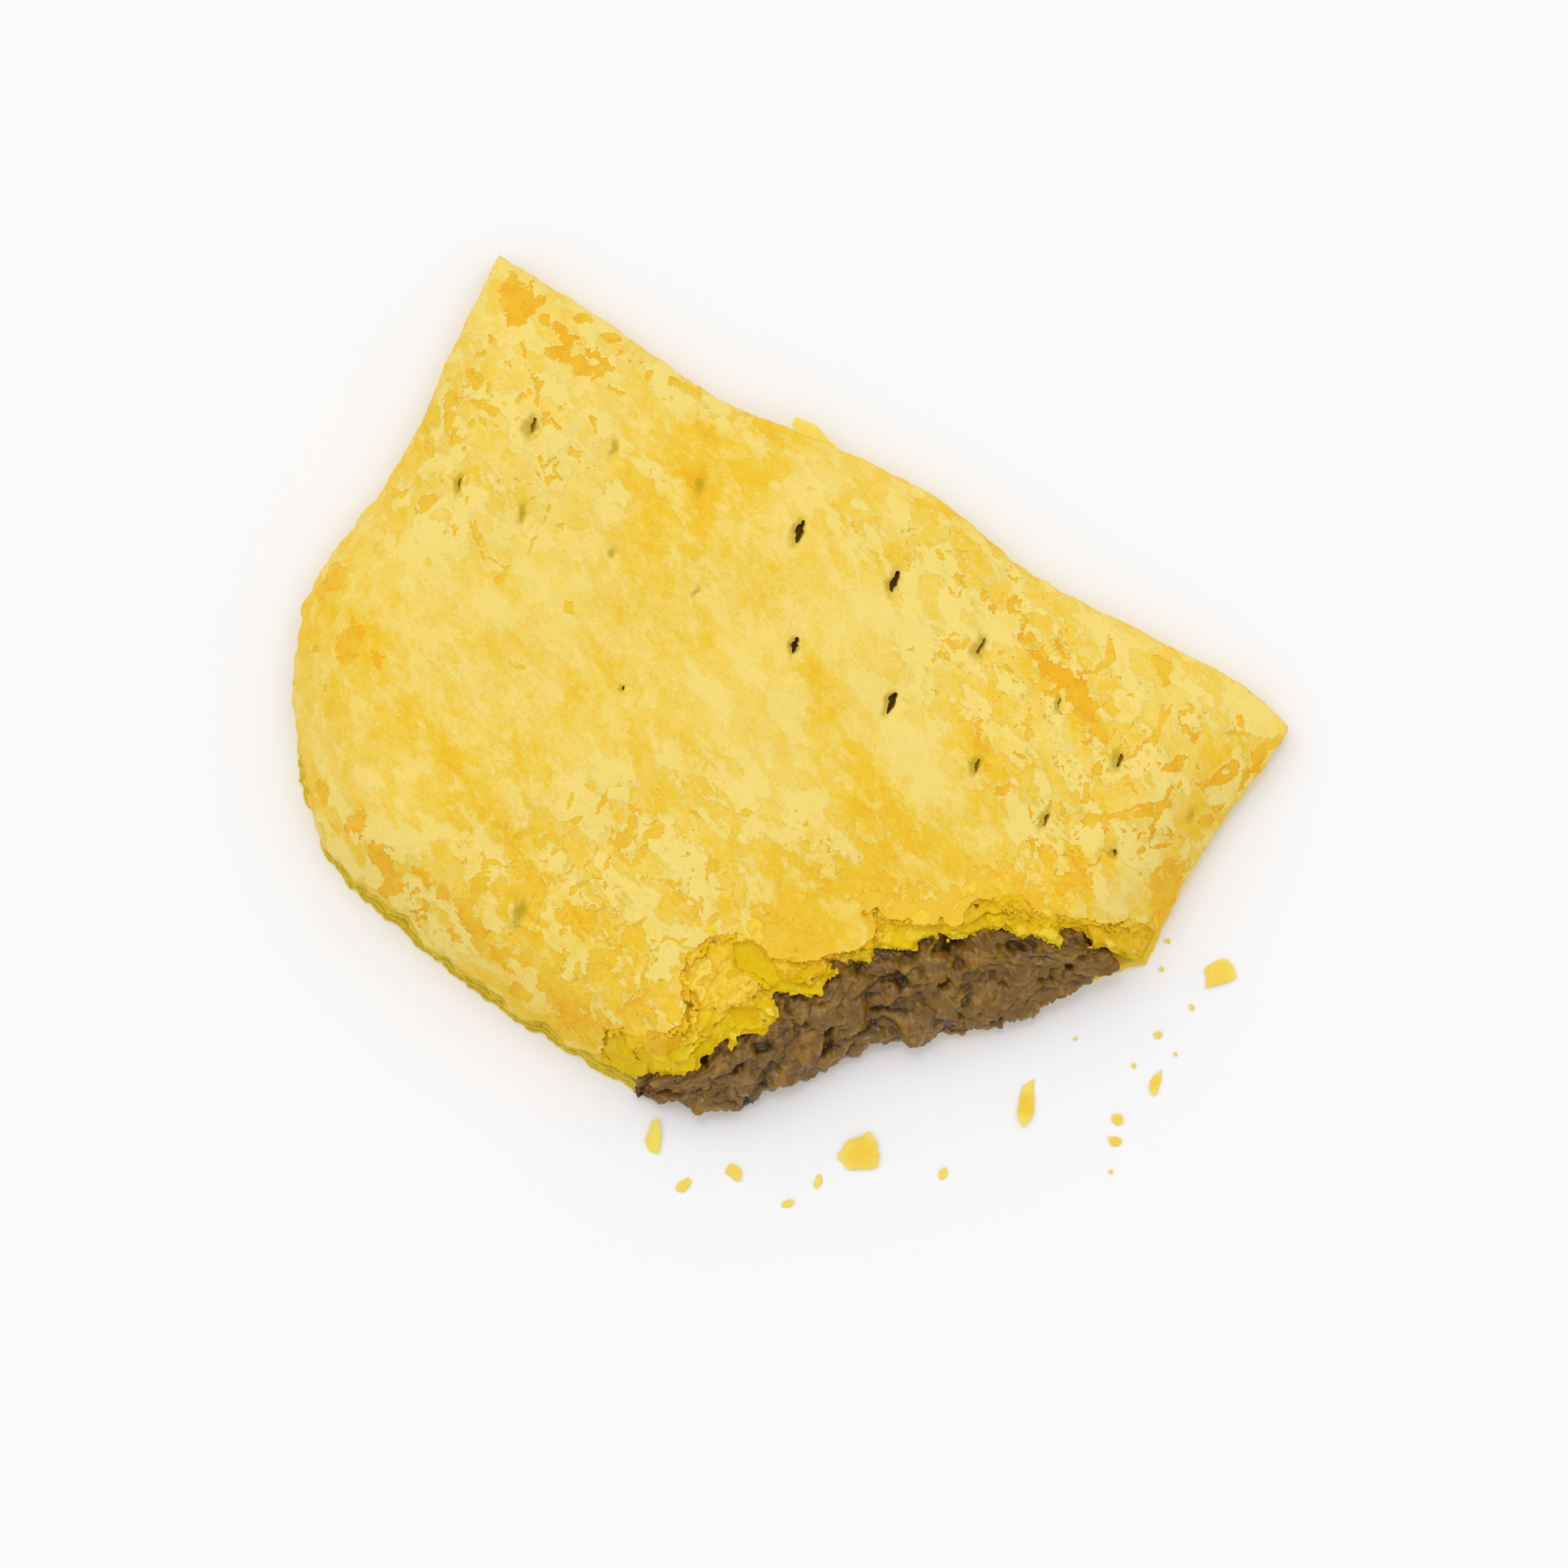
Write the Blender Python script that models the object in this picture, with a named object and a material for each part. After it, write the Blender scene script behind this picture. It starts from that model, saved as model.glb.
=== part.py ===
"""Jamaican patty with one bite taken out: a folded pastry crust round a minced filling.

The patty lies flat as it was baked. +X runs along the straight folded side, +Y points to
that side, +Z is up, and the origin is under the middle of the patty's box, on its base.
Everything is worked out in millimetres and put into the meshes in metres.
"""

import math
import random

import bmesh
import bpy
import numpy as np
from mathutils import Matrix

# Driving sizes, in millimetres.
HEIGHT = 18.0  # thickest part of the patty
CRUST = 2.9  # top sheet of pastry
BASE = 2.4  # bottom sheet of pastry
EDGE_TOP = 5.0  # height of the pressed edge, both sheets together
SEAL = 6.5  # width of the pressed edge that holds no filling
GAP = 0.3  # clearance between the crust and the filling
FOLD_RISE = 25.0  # how far in from the folded side the top still climbs
ROUND_RISE = 17.0  # how far in from the three other sides it still climbs
CROWN_DROP_ENDS = 1.4  # how much lower the crown is at the left and right than in the middle
CROWN_DROP_FOLD = 1.6  # how much lower it is towards the folded side
LEDGE = 0.5  # how far the bottom sheet stands out beyond the top one
LEDGE_FRONT = 1.5  # added to it along the front
LEDGE_RIGHT = 0.9  # added to it on the right, next to the bite
SEAM_DEPTH = 0.7  # groove between the two sheets
SEAM_FADE = 4.0  # points of the outline over which the groove fades out at the fold
CLEAR = 5.0  # how far a cutter runs past what it cuts
TO_METRES = 0.001

# Gentle swells of the baked top: height, turn per mm of X, turn per mm of Y, start.
SWELLS = [
    (0.45, 0.115, 0.05, 0.8), (0.40, -0.06, 0.09, 2.1), (0.28, 0.21, -0.16, 4.0),
    (0.22, 0.24, 0.19, 1.2),
]

# The unbitten outline, anticlockwise from the left end of the folded side. Its first
# stretch is the left side, the rounded front and the right side, and its second stretch
# is the folded side, run back from right to left.
ROUND_SIDE = [
    (-72.6, 50.0), (-72.0, 41.5), (-71.2, 31.5), (-69.8, 22.5), (-69.4, 13.5), (-70.2, 4.0),
    (-71.4, -7.0), (-69.8, -16.5), (-66.8, -23.5), (-61.8, -31.0), (-55.4, -39.4), (-48.8, -44.6),
    (-41.2, -47.9), (-32.2, -49.3), (-21.7, -50.9), (-8.2, -52.3), (9.8, -52.2), (25.8, -52.4),
    (41.8, -49.5), (54.8, -42.5), (64.3, -31.5), (70.2, -17.0), (72.6, -1.0), (72.2, 9.0),
    (71.0, 21.0), (71.0, 32.0), (72.0, 42.0), (72.6, 49.8),
]
FOLD_SIDE = [
    (72.6, 49.8), (66.3, 51.4), (59.8, 52.0), (49.8, 51.3), (39.8, 50.6), (29.8, 49.9),
    (21.3, 50.2), (10.8, 52.2), (-0.2, 52.4), (-10.2, 51.4), (-22.2, 49.7), (-30.2, 48.4),
    (-46.2, 49.2), (-58.2, 49.9), (-72.6, 50.0),
]

# The bite. Its own axes are turned an eighth of a turn: "along" runs beside the bite from
# the front of the patty to its right side, and "out" points away from the patty.
BITE_TURN = math.radians(-45.0)
SKIN_EDGE = [
    (-32.8, 48.1), (-27.8, 44.6), (-21.8, 42.0), (-17.3, 37.6), (-14.8, 30.6), (-8.8, 28.1),
    (-0.8, 31.0), (5.8, 32.6), (9.7, 28.0), (15.8, 27.6), (21.2, 30.2), (29.2, 31.2),
    (37.2, 33.8), (44.2, 34.0), (49.2, 38.0), (57.2, 40.8), (63.2, 43.6),
]
LAYER_EDGE = [
    (-32.8, 49.6), (-26.3, 45.2), (-17.3, 43.5), (-10.3, 41.0), (-2.8, 38.6), (5.2, 36.4),
    (13.2, 33.8), (21.2, 34.6), (29.2, 34.6), (35.2, 36.9), (42.2, 39.2), (48.2, 40.4),
    (56.7, 43.7), (63.2, 46.6),
]
FILLING_EDGE = [
    (-26.2, 46.2), (-25.2, 47.8), (-20.1, 49.2), (-15.8, 51.6), (-10.8, 53.6), (-5.8, 52.2),
    (-0.4, 51.6), (6.2, 49.4), (10.7, 48.6), (19.2, 51.0), (26.2, 51.4), (33.2, 49.8),
    (39.2, 48.6), (45.2, 47.5), (49.2, 44.8),
]
BASE_EDGE = [
    (-32.8, 49.6), (-26.0, 46.0), (-22.8, 47.6), (-15.8, 50.4), (-10.8, 52.2), (-4.8, 51.0),
    (2.2, 49.6), (10.2, 47.5), (19.2, 49.8), (26.2, 50.4), (33.2, 48.8), (41.2, 47.8),
    (47.2, 47.2), (51.7, 46.6), (57.7, 46.5), (63.2, 48.6),
]
TERRACE_DEPTHS = (0.8, 1.8)  # how deep the two upper broken sheets are below the skin
TERRACE_WIDTH = 2.4  # how far the second sheet's edge is beyond the skin's
TEAR = 0.75  # how far a torn edge wanders to either side
BASE_TEAR = 0.5  # the same for the bottom sheet
TEAR_PITCH = 1.7  # spacing of the points along a torn edge

# Steam slits: place of the middle, length, width, depth below the skin.
SLITS = [
    (-53.8, 29.6, 4.6, 1.4, 1.6), (-40.9, 33.2, 3.8, 1.2, 1.3), (-26.4, 35.1, 3.6, 1.2, 1.2),
    (-9.6, 36.6, 4.4, 1.5, 4.5), (7.2, 37.6, 4.6, 1.5, 4.5), (24.0, 35.7, 5.0, 1.4, 2.2),
    (39.0, 34.3, 3.6, 1.0, 1.2), (51.6, 31.4, 4.0, 1.3, 2.2), (66.0, 30.1, 2.8, 1.3, 1.2),
    (-58.9, 16.1, 4.6, 1.1, 1.4), (-48.0, 17.0, 3.8, 1.1, 1.2), (-18.4, 20.4, 2.4, 0.9, 1.0),
    (-1.0, 21.0, 3.6, 1.2, 4.5), (16.5, 20.9, 4.6, 1.4, 4.5), (32.9, 19.5, 4.2, 1.2, 1.4),
    (46.5, 17.7, 3.8, 1.0, 1.2), (58.3, 18.8, 2.6, 1.4, 2.2),
]
SLIT_LEAN = math.radians(5.0)

# Lost flakes: place of the middle, reach along X, reach along Y, depth.
PITS = [
    (12.8, -29.5, 6.0, 4.0, 1.1), (9.3, -44.5, 4.5, 2.6, 0.9), (30.8, -4.4, 4.2, 1.8, 0.8),
    (-31.2, -37.5, 5.0, 1.6, 0.5), (-20.2, -39.0, 2.2, 3.4, 0.5), (58.8, 21.6, 2.0, 4.6, 0.5),
    (36.8, 28.0, 3.6, 6.0, 0.5), (-64.7, 43.0, 3.0, 4.0, 0.4),
]
PIT_POINTS = 18

# The loose leaf of pastry behind the folded side.
LEAF_PLACE = (-15.0, 50.0, 3.4)
LEAF_REACH = (5.0, 2.6)
LEAF_THICKNESS = 0.35
LEAF_POINTS = 10
LEAF_SLOPE = 0.12  # how fast it rises outwards
LEAF_TURN = -0.06

# Minced meat that shows in the bite.
LUMP_SIZES = (1.7, 3.7)  # smallest and largest lump, radius
LUMP_ROWS = (0.14, 0.38, 0.64, 0.9)  # places between the crust's torn edge and the filling's foot
LUMP_PITCH = 5.6  # spacing along a row
LUMP_STRETCH = 1.5  # longest lump, as a share of a round one
LUMP_ROUGHNESS = 0.16  # how far a lump's points wander, as a share of its radius
SEED = 27
BITE_REACH = np.array([0.0, 4.0, 9.0, 15.0, 22.0, 60.0])  # rows of a cutter beyond a torn edge

OUTLINE_STEPS = (62, 28)  # points on the round stretch and on the folded stretch
TOP_RINGS = (0.1, 0.22, 0.34, 0.46, 0.58, 0.69, 0.78, 0.85, 0.905, 0.945, 0.975, 1.0)
UNDERSIDE_RINGS = (0.6,)
FACE_RINGS = (0.4, 0.7, 0.82, 0.92)


def smooth_curve(points, count):
    """Points spaced by parameter along a Catmull-Rom curve through the given ones."""
    given = np.array(points, float)
    ends = np.vstack([2 * given[0] - given[1], given, 2 * given[-1] - given[-2]])
    chords = np.concatenate([[0.0], np.cumsum(np.linalg.norm(np.diff(given, axis=0), axis=1))])
    place = np.linspace(0.0, chords[-1], count + 1)
    span = np.clip(np.searchsorted(chords, place, side="right") - 1, 0, len(given) - 2)
    t = ((place - chords[span]) / (chords[span + 1] - chords[span]))[:, None]
    p0, p1, p2, p3 = (ends[span + k] for k in range(4))
    return 0.5 * (
        2 * p1 + (p2 - p0) * t + (2 * p0 - 5 * p1 + 4 * p2 - p3) * t**2 + (3 * p1 - p0 - 3 * p2 + p3) * t**3
    )


def closed_outline():
    """The unbitten outline as one closed run of points, first the round side, then the fold."""
    round_part = smooth_curve(ROUND_SIDE, OUTLINE_STEPS[0])
    fold_part = smooth_curve(FOLD_SIDE, OUTLINE_STEPS[1])
    return np.vstack([round_part[:-1], fold_part[:-1]])


def moved_in(outline, distance):
    """The closed outline moved inwards by a distance given for all points or for each."""
    ahead = np.roll(outline, -1, axis=0) - np.roll(outline, 1, axis=0)
    inward = np.stack([-ahead[:, 1], ahead[:, 0]], axis=1)
    inward /= np.linalg.norm(inward, axis=1)[:, None]
    return outline + inward * np.broadcast_to(distance, len(outline))[:, None]


def ramp(value, start, width):
    """0 up to the start, and from there straight up to 1 over the width."""
    return np.clip((value - start) / width, 0.0, 1.0)


def ledge(outline):
    """How far the bottom sheet stands out beyond the top one: most along the front."""
    x, y = outline.T
    front = ramp(-y, 31.0, 14.0) * ramp(x, -66.0, 20.0)
    right = ramp(x, 66.0, 4.0) * ramp(-y, -29.0, 20.0)
    return LEDGE + LEDGE_FRONT * front + LEDGE_RIGHT * right


def distance_to(curve, xy):
    """Distance from each place to an open run of straight pieces."""
    start, run = curve[:-1], np.diff(curve, axis=0)
    apart = xy[:, None, :] - start[None]
    share = np.clip((apart * run).sum(2) / (run * run).sum(1), 0.0, 1.0)
    return np.linalg.norm(apart - share[..., None] * run, axis=2).min(axis=1)


def rise(distance, reach, power):
    """A rounded shoulder: 0 at the edge, steep at first, level from the reach inwards."""
    return 1.0 - (1.0 - np.clip(distance / reach, 0.0, 1.0)) ** power


def unevenness(xy):
    """Height of the swells at each place."""
    x, y = xy.T
    return sum(height * np.sin(by_x * x + by_y * y + start) for height, by_x, by_y, start in SWELLS)


def top_height(xy):
    """Height of the unbroken skin over each place."""
    round_part = smooth_curve(ROUND_SIDE, OUTLINE_STEPS[0])
    fold_part = smooth_curve(FOLD_SIDE, OUTLINE_STEPS[1])
    share = rise(distance_to(round_part, xy) - 0.5, ROUND_RISE, 2.3)
    share = share * rise(distance_to(fold_part, xy) - 0.5, FOLD_RISE, 1.9)
    ends = ((xy[:, 0] + 4.0) / 70.0) ** 2
    crown = HEIGHT - CROWN_DROP_ENDS * ends - CROWN_DROP_FOLD * ramp(xy[:, 1], -5.0, 50.0) ** 2
    return EDGE_TOP + (crown - EDGE_TOP + unevenness(xy)) * share


def to_bite(xy):
    """(along, out) of each place in the bite's own axes."""
    x, y = xy[:, 0], xy[:, 1]
    c, s = math.cos(BITE_TURN), math.sin(BITE_TURN)
    return np.stack([-s * x + c * y, c * x + s * y], axis=1)


def from_bite(along_out):
    """Places in the patty's axes of points given in the bite's own axes."""
    along, out = np.array(along_out, float).T
    c, s = math.cos(BITE_TURN), math.sin(BITE_TURN)
    return np.stack([-s * along + c * out, c * along + s * out], axis=1)


def torn(edge, seed, wander=TEAR):
    """An edge with points every few millimetres that wander out and in as torn pastry does."""
    draw = random.Random(seed)
    corners = np.array(edge, float)
    count = int((corners[-1, 0] - corners[0, 0]) / TEAR_PITCH)
    along = np.linspace(corners[0, 0], corners[-1, 0], count)
    out = np.interp(along, corners[:, 0], corners[:, 1])
    along = along + np.array([draw.uniform(-0.3, 0.3) * TEAR_PITCH for _ in along])
    out = out + np.array([draw.uniform(-wander, wander) for _ in out])
    return np.stack([along, out], axis=1)


def new_object(name, mesh_maker, collection):
    """An object whose mesh is the bmesh that mesh_maker returns, in metres."""
    bm = mesh_maker()
    bmesh.ops.scale(bm, vec=(TO_METRES,) * 3, verts=bm.verts)
    bmesh.ops.recalc_face_normals(bm, faces=bm.faces)
    if bm.calc_volume(signed=True) < 0.0:
        bmesh.ops.reverse_faces(bm, faces=bm.faces)
    mesh = bpy.data.meshes.new(name)
    bm.to_mesh(mesh)
    bm.free()
    obj = bpy.data.objects.new(name, mesh)
    collection.objects.link(obj)
    return obj


def pillow(rings):
    """A closed body from a UV sphere, whose rings are moved to the given rings of points.

    rings holds (points, heights) from the top pole down, and the poles sit at the first
    and the last ring's middle. Every quad is split the same way, so that a body and a
    slightly larger one round it nowhere cross.
    """
    around = len(rings[0][0])
    bands = len(rings) + 1
    bm = bmesh.new()
    bmesh.ops.create_uvsphere(bm, u_segments=around, v_segments=bands, radius=1.0)
    for vert in bm.verts:
        band = round(math.acos(max(-1.0, min(1.0, vert.co.z))) / math.pi * bands)
        if band in (0, bands):
            points, heights = rings[0] if band == 0 else rings[-1]
            vert.co = (*points.mean(axis=0), heights.mean())
            continue
        turn = round(math.atan2(vert.co.y, vert.co.x) / (2 * math.pi) * around) % around
        points, heights = rings[band - 1]
        vert.co = (points[turn, 0], points[turn, 1], heights[turn])
    bmesh.ops.triangulate(bm, faces=bm.faces, quad_method="FIXED")
    return bm


def spokes(outline, share):
    """The outline drawn in towards the patty's middle."""
    return outline * share


def pastry_body():
    """The whole unbitten patty: domed top, flat underside, and an edge of two pressed sheets.

    A groove parts the sheets all round but on the folded side, where they are one.
    """
    outline = closed_outline()
    out_by = ledge(outline)
    steps = np.arange(len(outline))
    seam = ramp(np.minimum(steps, OUTLINE_STEPS[0] - steps), 0.0, SEAM_FADE)
    top_outline = moved_in(outline, out_by + 0.5)
    rings = [(spokes(top_outline, t), top_height(spokes(top_outline, t))) for t in TOP_RINGS]
    side = [
        (out_by, 0.72 * EDGE_TOP),
        ((out_by + SEAM_DEPTH) * seam, BASE + 0.15),
        (0.15 * seam, BASE - 0.35),
        (0.15 - 0.15 * seam, 0.9),
        (0.8, 0.0),
    ]
    level = np.ones(len(outline))
    rings += [(moved_in(outline, inset), level * height) for inset, height in side]
    rings += [(spokes(outline, t), level * 0.0) for t in UNDERSIDE_RINGS]
    return pillow(rings)


def over_bite(xy, edge):
    """How far each place is beyond an edge of the bite, outwards."""
    along, out = to_bite(xy).T
    corners = np.array(edge, float)
    return out - np.interp(along, corners[:, 0], corners[:, 1])


def filling_outline(grow):
    """The filling's plan: inside the pressed edge, and out to its own foot in the bite."""
    outline = closed_outline()
    plan = moved_in(outline, SEAL - grow)
    for _ in range(2):
        plan = 0.25 * np.roll(plan, 1, axis=0) + 0.5 * plan + 0.25 * np.roll(plan, -1, axis=0)
    corners = np.array(FILLING_EDGE, float)
    along, out = to_bite(plan).T
    in_bite = (along > corners[0, 0] - 3.0) & (along < corners[-1, 0] + 3.0) & (out > 0.0)
    foot = np.interp(along, corners[:, 0], corners[:, 1]) + grow
    placed = from_bite(np.stack([along, np.where(out > foot, foot, out)], axis=1))
    return np.where(in_bite[:, None], placed, plan)


def filling_height(xy):
    """Top of the filling: under the crust, then down the face of the bite to its foot."""
    roof = top_height(xy) - CRUST - GAP
    past_layers = over_bite(xy, LAYER_EDGE)
    past_foot = over_bite(xy, FILLING_EDGE)
    share = np.clip(past_layers / np.maximum(past_layers - past_foot, 1.0), 0.0, 1.0)
    foot = BASE + GAP + 1.6
    height = foot + (roof - foot) * (1.0 - share**1.5)
    return np.maximum(height, BASE + GAP + 0.6)


def filling_body(grow):
    """The filling without its lumps. grow moves every side out, to cut the crust with it."""
    plan, grown = filling_outline(0.0), filling_outline(grow)
    rings = [(spokes(grown, t), filling_height(spokes(plan, t)) + grow) for t in FACE_RINGS]
    floor = np.full(len(plan), BASE + GAP)
    low = floor + 0.55 * (filling_height(spokes(plan, 0.985)) - floor)
    rings.append((spokes(grown, 0.985), low + grow))
    rings.append((grown, floor + 0.35 * (low - floor)))
    rings.append((spokes(grown, 0.985), floor - grow))
    rings.append((spokes(grown, 0.5), floor - grow))
    return pillow(rings)


def lump_places():
    """Middle and radius of each lump of meat on the bite's face, row by row."""
    draw = random.Random(SEED)
    layer, foot = np.array(LAYER_EDGE, float), np.array(FILLING_EDGE, float)
    found = []
    for row, share in enumerate(LUMP_ROWS):
        along = foot[0, 0] + 2.4 + (row % 2) * 0.5 * LUMP_PITCH
        while along < foot[-1, 0] - 1.5:
            radius = draw.uniform(*LUMP_SIZES)
            inner = np.interp(along, layer[:, 0], layer[:, 1])
            outer = np.interp(along, foot[:, 0], foot[:, 1])
            room = outer - inner
            radius = min(radius, 0.36 * room)
            out = inner + share * room + draw.uniform(-0.9, 0.9)
            out = max(min(out, outer - 0.6 * radius), inner + LUMP_STRETCH * 1.2 * radius + 0.5)
            if room > 3.5:
                found.append((along, out, radius))
            along += LUMP_PITCH * draw.uniform(0.8, 1.2)
    return found


def lump(along, out, radius, draw):
    """One craggy, slightly flattened lump, sunk half into the face of the filling."""
    place = from_bite([(along, out)])
    height = max(filling_height(place)[0] - 0.4 * radius, BASE + GAP + 0.95 * radius)
    bm = bmesh.new()
    bmesh.ops.create_icosphere(bm, subdivisions=2, radius=radius)
    for vert in bm.verts:
        vert.co *= 1.0 + draw.uniform(-LUMP_ROUGHNESS, LUMP_ROUGHNESS)
    stretch = draw.uniform(1.0, LUMP_STRETCH)
    bmesh.ops.scale(bm, vec=(stretch, 0.9, 0.72), verts=bm.verts)
    turn = Matrix.Rotation(draw.uniform(0.0, math.pi), 3, "Z")
    bmesh.ops.rotate(bm, cent=(0, 0, 0), matrix=turn, verts=bm.verts)
    bmesh.ops.translate(bm, vec=(place[0, 0], place[0, 1], height), verts=bm.verts)
    return bm


def bite_cutter(edge, depth, floor):
    """A block beyond a torn edge, whose underside keeps a depth below the skin.

    It goes no lower than the floor, and with no depth its underside is level there.
    """
    line = from_bite(edge)
    outward = from_bite([(0.0, 1.0)])[0]
    reach = BITE_REACH
    bm = bmesh.new()
    bmesh.ops.create_grid(bm, x_segments=len(line) - 1, y_segments=len(reach) - 1, size=1.0)
    unit = np.array([vert.co[:2] for vert in bm.verts]) / 2.0 + 0.5
    column = np.rint(unit[:, 0] * (len(line) - 1)).astype(int)
    row = np.rint(unit[:, 1] * (len(reach) - 1)).astype(int)
    xy = line[column] + outward * reach[row][:, None]
    under = np.full(len(xy), floor) if depth is None else np.maximum(top_height(xy) - depth, floor)
    for vert, place, height in zip(bm.verts, xy, under):
        vert.co = (place[0], place[1], height)
    raised = bmesh.ops.extrude_face_region(bm, geom=bm.faces[:])
    for item in raised["geom"]:
        if isinstance(item, bmesh.types.BMVert):
            item.co.z = 2.0 * HEIGHT
    return bm


def slit_cutter(x, y, length, width, depth):
    """A pointed lens standing in the skin, as a docker's blade leaves it."""
    centre = np.array([[x, y]])
    skin = top_height(centre)[0]
    bm = bmesh.new()
    bmesh.ops.create_uvsphere(bm, u_segments=10, v_segments=6, radius=1.0)
    bmesh.ops.scale(bm, vec=(width / 2, length / 2, depth), verts=bm.verts)
    bmesh.ops.rotate(bm, cent=(0, 0, 0), matrix=Matrix.Rotation(SLIT_LEAN, 3, "Z"), verts=bm.verts)
    bmesh.ops.translate(bm, vec=(x, y, skin), verts=bm.verts)
    return bm


def pit_cutter(x, y, reach_x, reach_y, depth, seed):
    """A ragged disc whose underside keeps a depth below the skin, where a flake came off."""
    draw = random.Random(seed)
    bm = bmesh.new()
    bmesh.ops.create_cone(
        bm, cap_ends=True, cap_tris=True, segments=PIT_POINTS, radius1=1.0, radius2=1.0, depth=2.0
    )
    stretch = [draw.uniform(0.62, 1.2) for _ in range(PIT_POINTS)]
    for vert in bm.verts:
        turn = round(math.atan2(vert.co.y, vert.co.x) / (2 * math.pi) * PIT_POINTS) % PIT_POINTS
        on_rim = math.hypot(vert.co.x, vert.co.y) > 0.5
        scale = stretch[turn] if on_rim else 0.0
        place = np.array([[x + vert.co.x * reach_x * scale, y + vert.co.y * reach_y * scale]])
        skin = top_height(place)[0]
        vert.co = (place[0, 0], place[0, 1], skin - depth if vert.co.z < 0 else skin + CLEAR)
    return bm


def fold_leaf():
    """The loose leaf of pastry that sticks out behind the folded side."""
    bm = bmesh.new()
    bmesh.ops.create_cone(
        bm, cap_ends=True, cap_tris=True, segments=LEAF_POINTS, radius1=1.0, radius2=1.0, depth=1.0
    )
    left, back, level = LEAF_PLACE
    for vert in bm.verts:
        x, y = vert.co.x * LEAF_REACH[0], vert.co.y * LEAF_REACH[1]
        height = level + LEAF_THICKNESS * vert.co.z + LEAF_SLOPE * y
        vert.co = (left + x, back + y + LEAF_TURN * x, height)
    return bm


def applied(obj):
    """Turns obj's modifiers into its own mesh, so that what they use can go."""
    graph = bpy.context.evaluated_depsgraph_get()
    mesh = bpy.data.meshes.new_from_object(obj.evaluated_get(graph))
    obj.modifiers.clear()
    obj.data = mesh


def join(obj, pieces, solver="EXACT"):
    """Joins every object of a collection to obj."""
    modifier = obj.modifiers.new("Joined", "BOOLEAN")
    modifier.operation = "UNION"
    modifier.operand_type = "COLLECTION"
    modifier.collection = pieces
    modifier.solver = solver
    applied(obj)


def cut(obj, cutter):
    """Takes the cutter's volume out of obj."""
    modifier = obj.modifiers.new(cutter.name, "BOOLEAN")
    modifier.operation = "DIFFERENCE"
    modifier.object = cutter
    modifier.solver = "EXACT"
    applied(obj)


def keep_outer_skin(obj):
    """Deletes everything that doesn't hang together with the mesh's largest run of faces.

    That fills the hollows that joined lumps enclose, and drops any scrap.
    """
    bm = bmesh.new()
    bm.from_mesh(obj.data)
    waiting = set(bm.faces)
    skins = []
    while waiting:
        front = [waiting.pop()]
        skin = set(front)
        while front:
            near = {f for edge in front.pop().edges for f in edge.link_faces} & waiting
            waiting -= near
            skin |= near
            front.extend(near)
        skins.append(skin)
    skins.sort(key=len)
    for skin in skins[:-1]:
        bmesh.ops.delete(bm, geom=list(skin), context="FACES")
    bm.to_mesh(obj.data)
    bm.free()


def helpers(name):
    """A collection for cutters and pieces that are joined, left out of the model itself."""
    group = bpy.data.collections.new(name)
    bpy.context.scene.collection.children.link(group)
    return group


def clear_helpers(group):
    """Removes a helper collection and its objects."""
    for obj in list(group.objects):
        bpy.data.objects.remove(obj)
    bpy.data.collections.remove(group)


def make_filling(model):
    """The minced filling: one core with the lumps that show in the bite joined to it."""
    draw = random.Random(SEED + 1)
    filling = new_object("filling", lambda: filling_body(0.0), model)
    lumps = helpers("lumps")
    for index, (along, out, radius) in enumerate(lump_places()):
        new_object(f"lump_{index}", lambda: lump(along, out, radius, draw), lumps)
    join(filling, lumps, solver="MANIFOLD")
    keep_outer_skin(filling)
    clear_helpers(lumps)
    return filling


def make_crust(model):
    """The pastry: the whole body, hollowed for the filling, bitten, slit and flaked."""
    crust = new_object("crust", pastry_body, model)
    leaves = helpers("leaves")
    new_object("fold_leaf", fold_leaf, leaves)
    join(crust, leaves)
    clear_helpers(leaves)

    cutters = helpers("cutters")
    for index, pit in enumerate(PITS):
        new_object(f"pit_{index}", lambda: pit_cutter(*pit, seed=index), cutters)
    for index, slit in enumerate(SLITS):
        new_object(f"slit_{index}", lambda: slit_cutter(*slit), cutters)
    new_object("room_for_filling", lambda: filling_body(GAP), cutters)
    skin = torn(SKIN_EDGE, 3)
    second = 0.5 * (skin + torn(SKIN_EDGE, 4)) + (0.0, TERRACE_WIDTH)
    new_object("skin_broken", lambda: bite_cutter(skin, TERRACE_DEPTHS[0], BASE), cutters)
    new_object("second_broken", lambda: bite_cutter(second, TERRACE_DEPTHS[1], BASE), cutters)
    new_object("layers_broken", lambda: bite_cutter(torn(LAYER_EDGE, 5), None, BASE), cutters)
    new_object("base_broken", lambda: bite_cutter(torn(BASE_EDGE, 6, BASE_TEAR), None, -CLEAR), cutters)
    for cutter in list(cutters.objects):
        cut(crust, cutter)
    clear_helpers(cutters)
    return crust


def food_material(name, colour, roughness):
    """A plain Principled surface."""
    material = bpy.data.materials.new(name)
    material.use_nodes = True
    shader = material.node_tree.nodes["Principled BSDF"]
    shader.inputs["Base Color"].default_value = (*colour, 1.0)
    shader.inputs["Roughness"].default_value = roughness
    shader.inputs["Metallic"].default_value = 0.0
    return material


def main():
    """Clears the scene and makes the crust and the filling."""
    for obj in list(bpy.data.objects):
        bpy.data.objects.remove(obj)
    model = bpy.data.collections.new("jamaican_patty")
    bpy.context.scene.collection.children.link(model)
    crust = make_crust(model)
    filling = make_filling(model)
    crust.data.materials.clear()
    crust.data.materials.append(food_material("baked_pastry", (0.86, 0.62, 0.10), 0.6))
    filling.data.materials.clear()
    filling.data.materials.append(food_material("minced_beef", (0.16, 0.09, 0.04), 0.4))


main()
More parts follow.
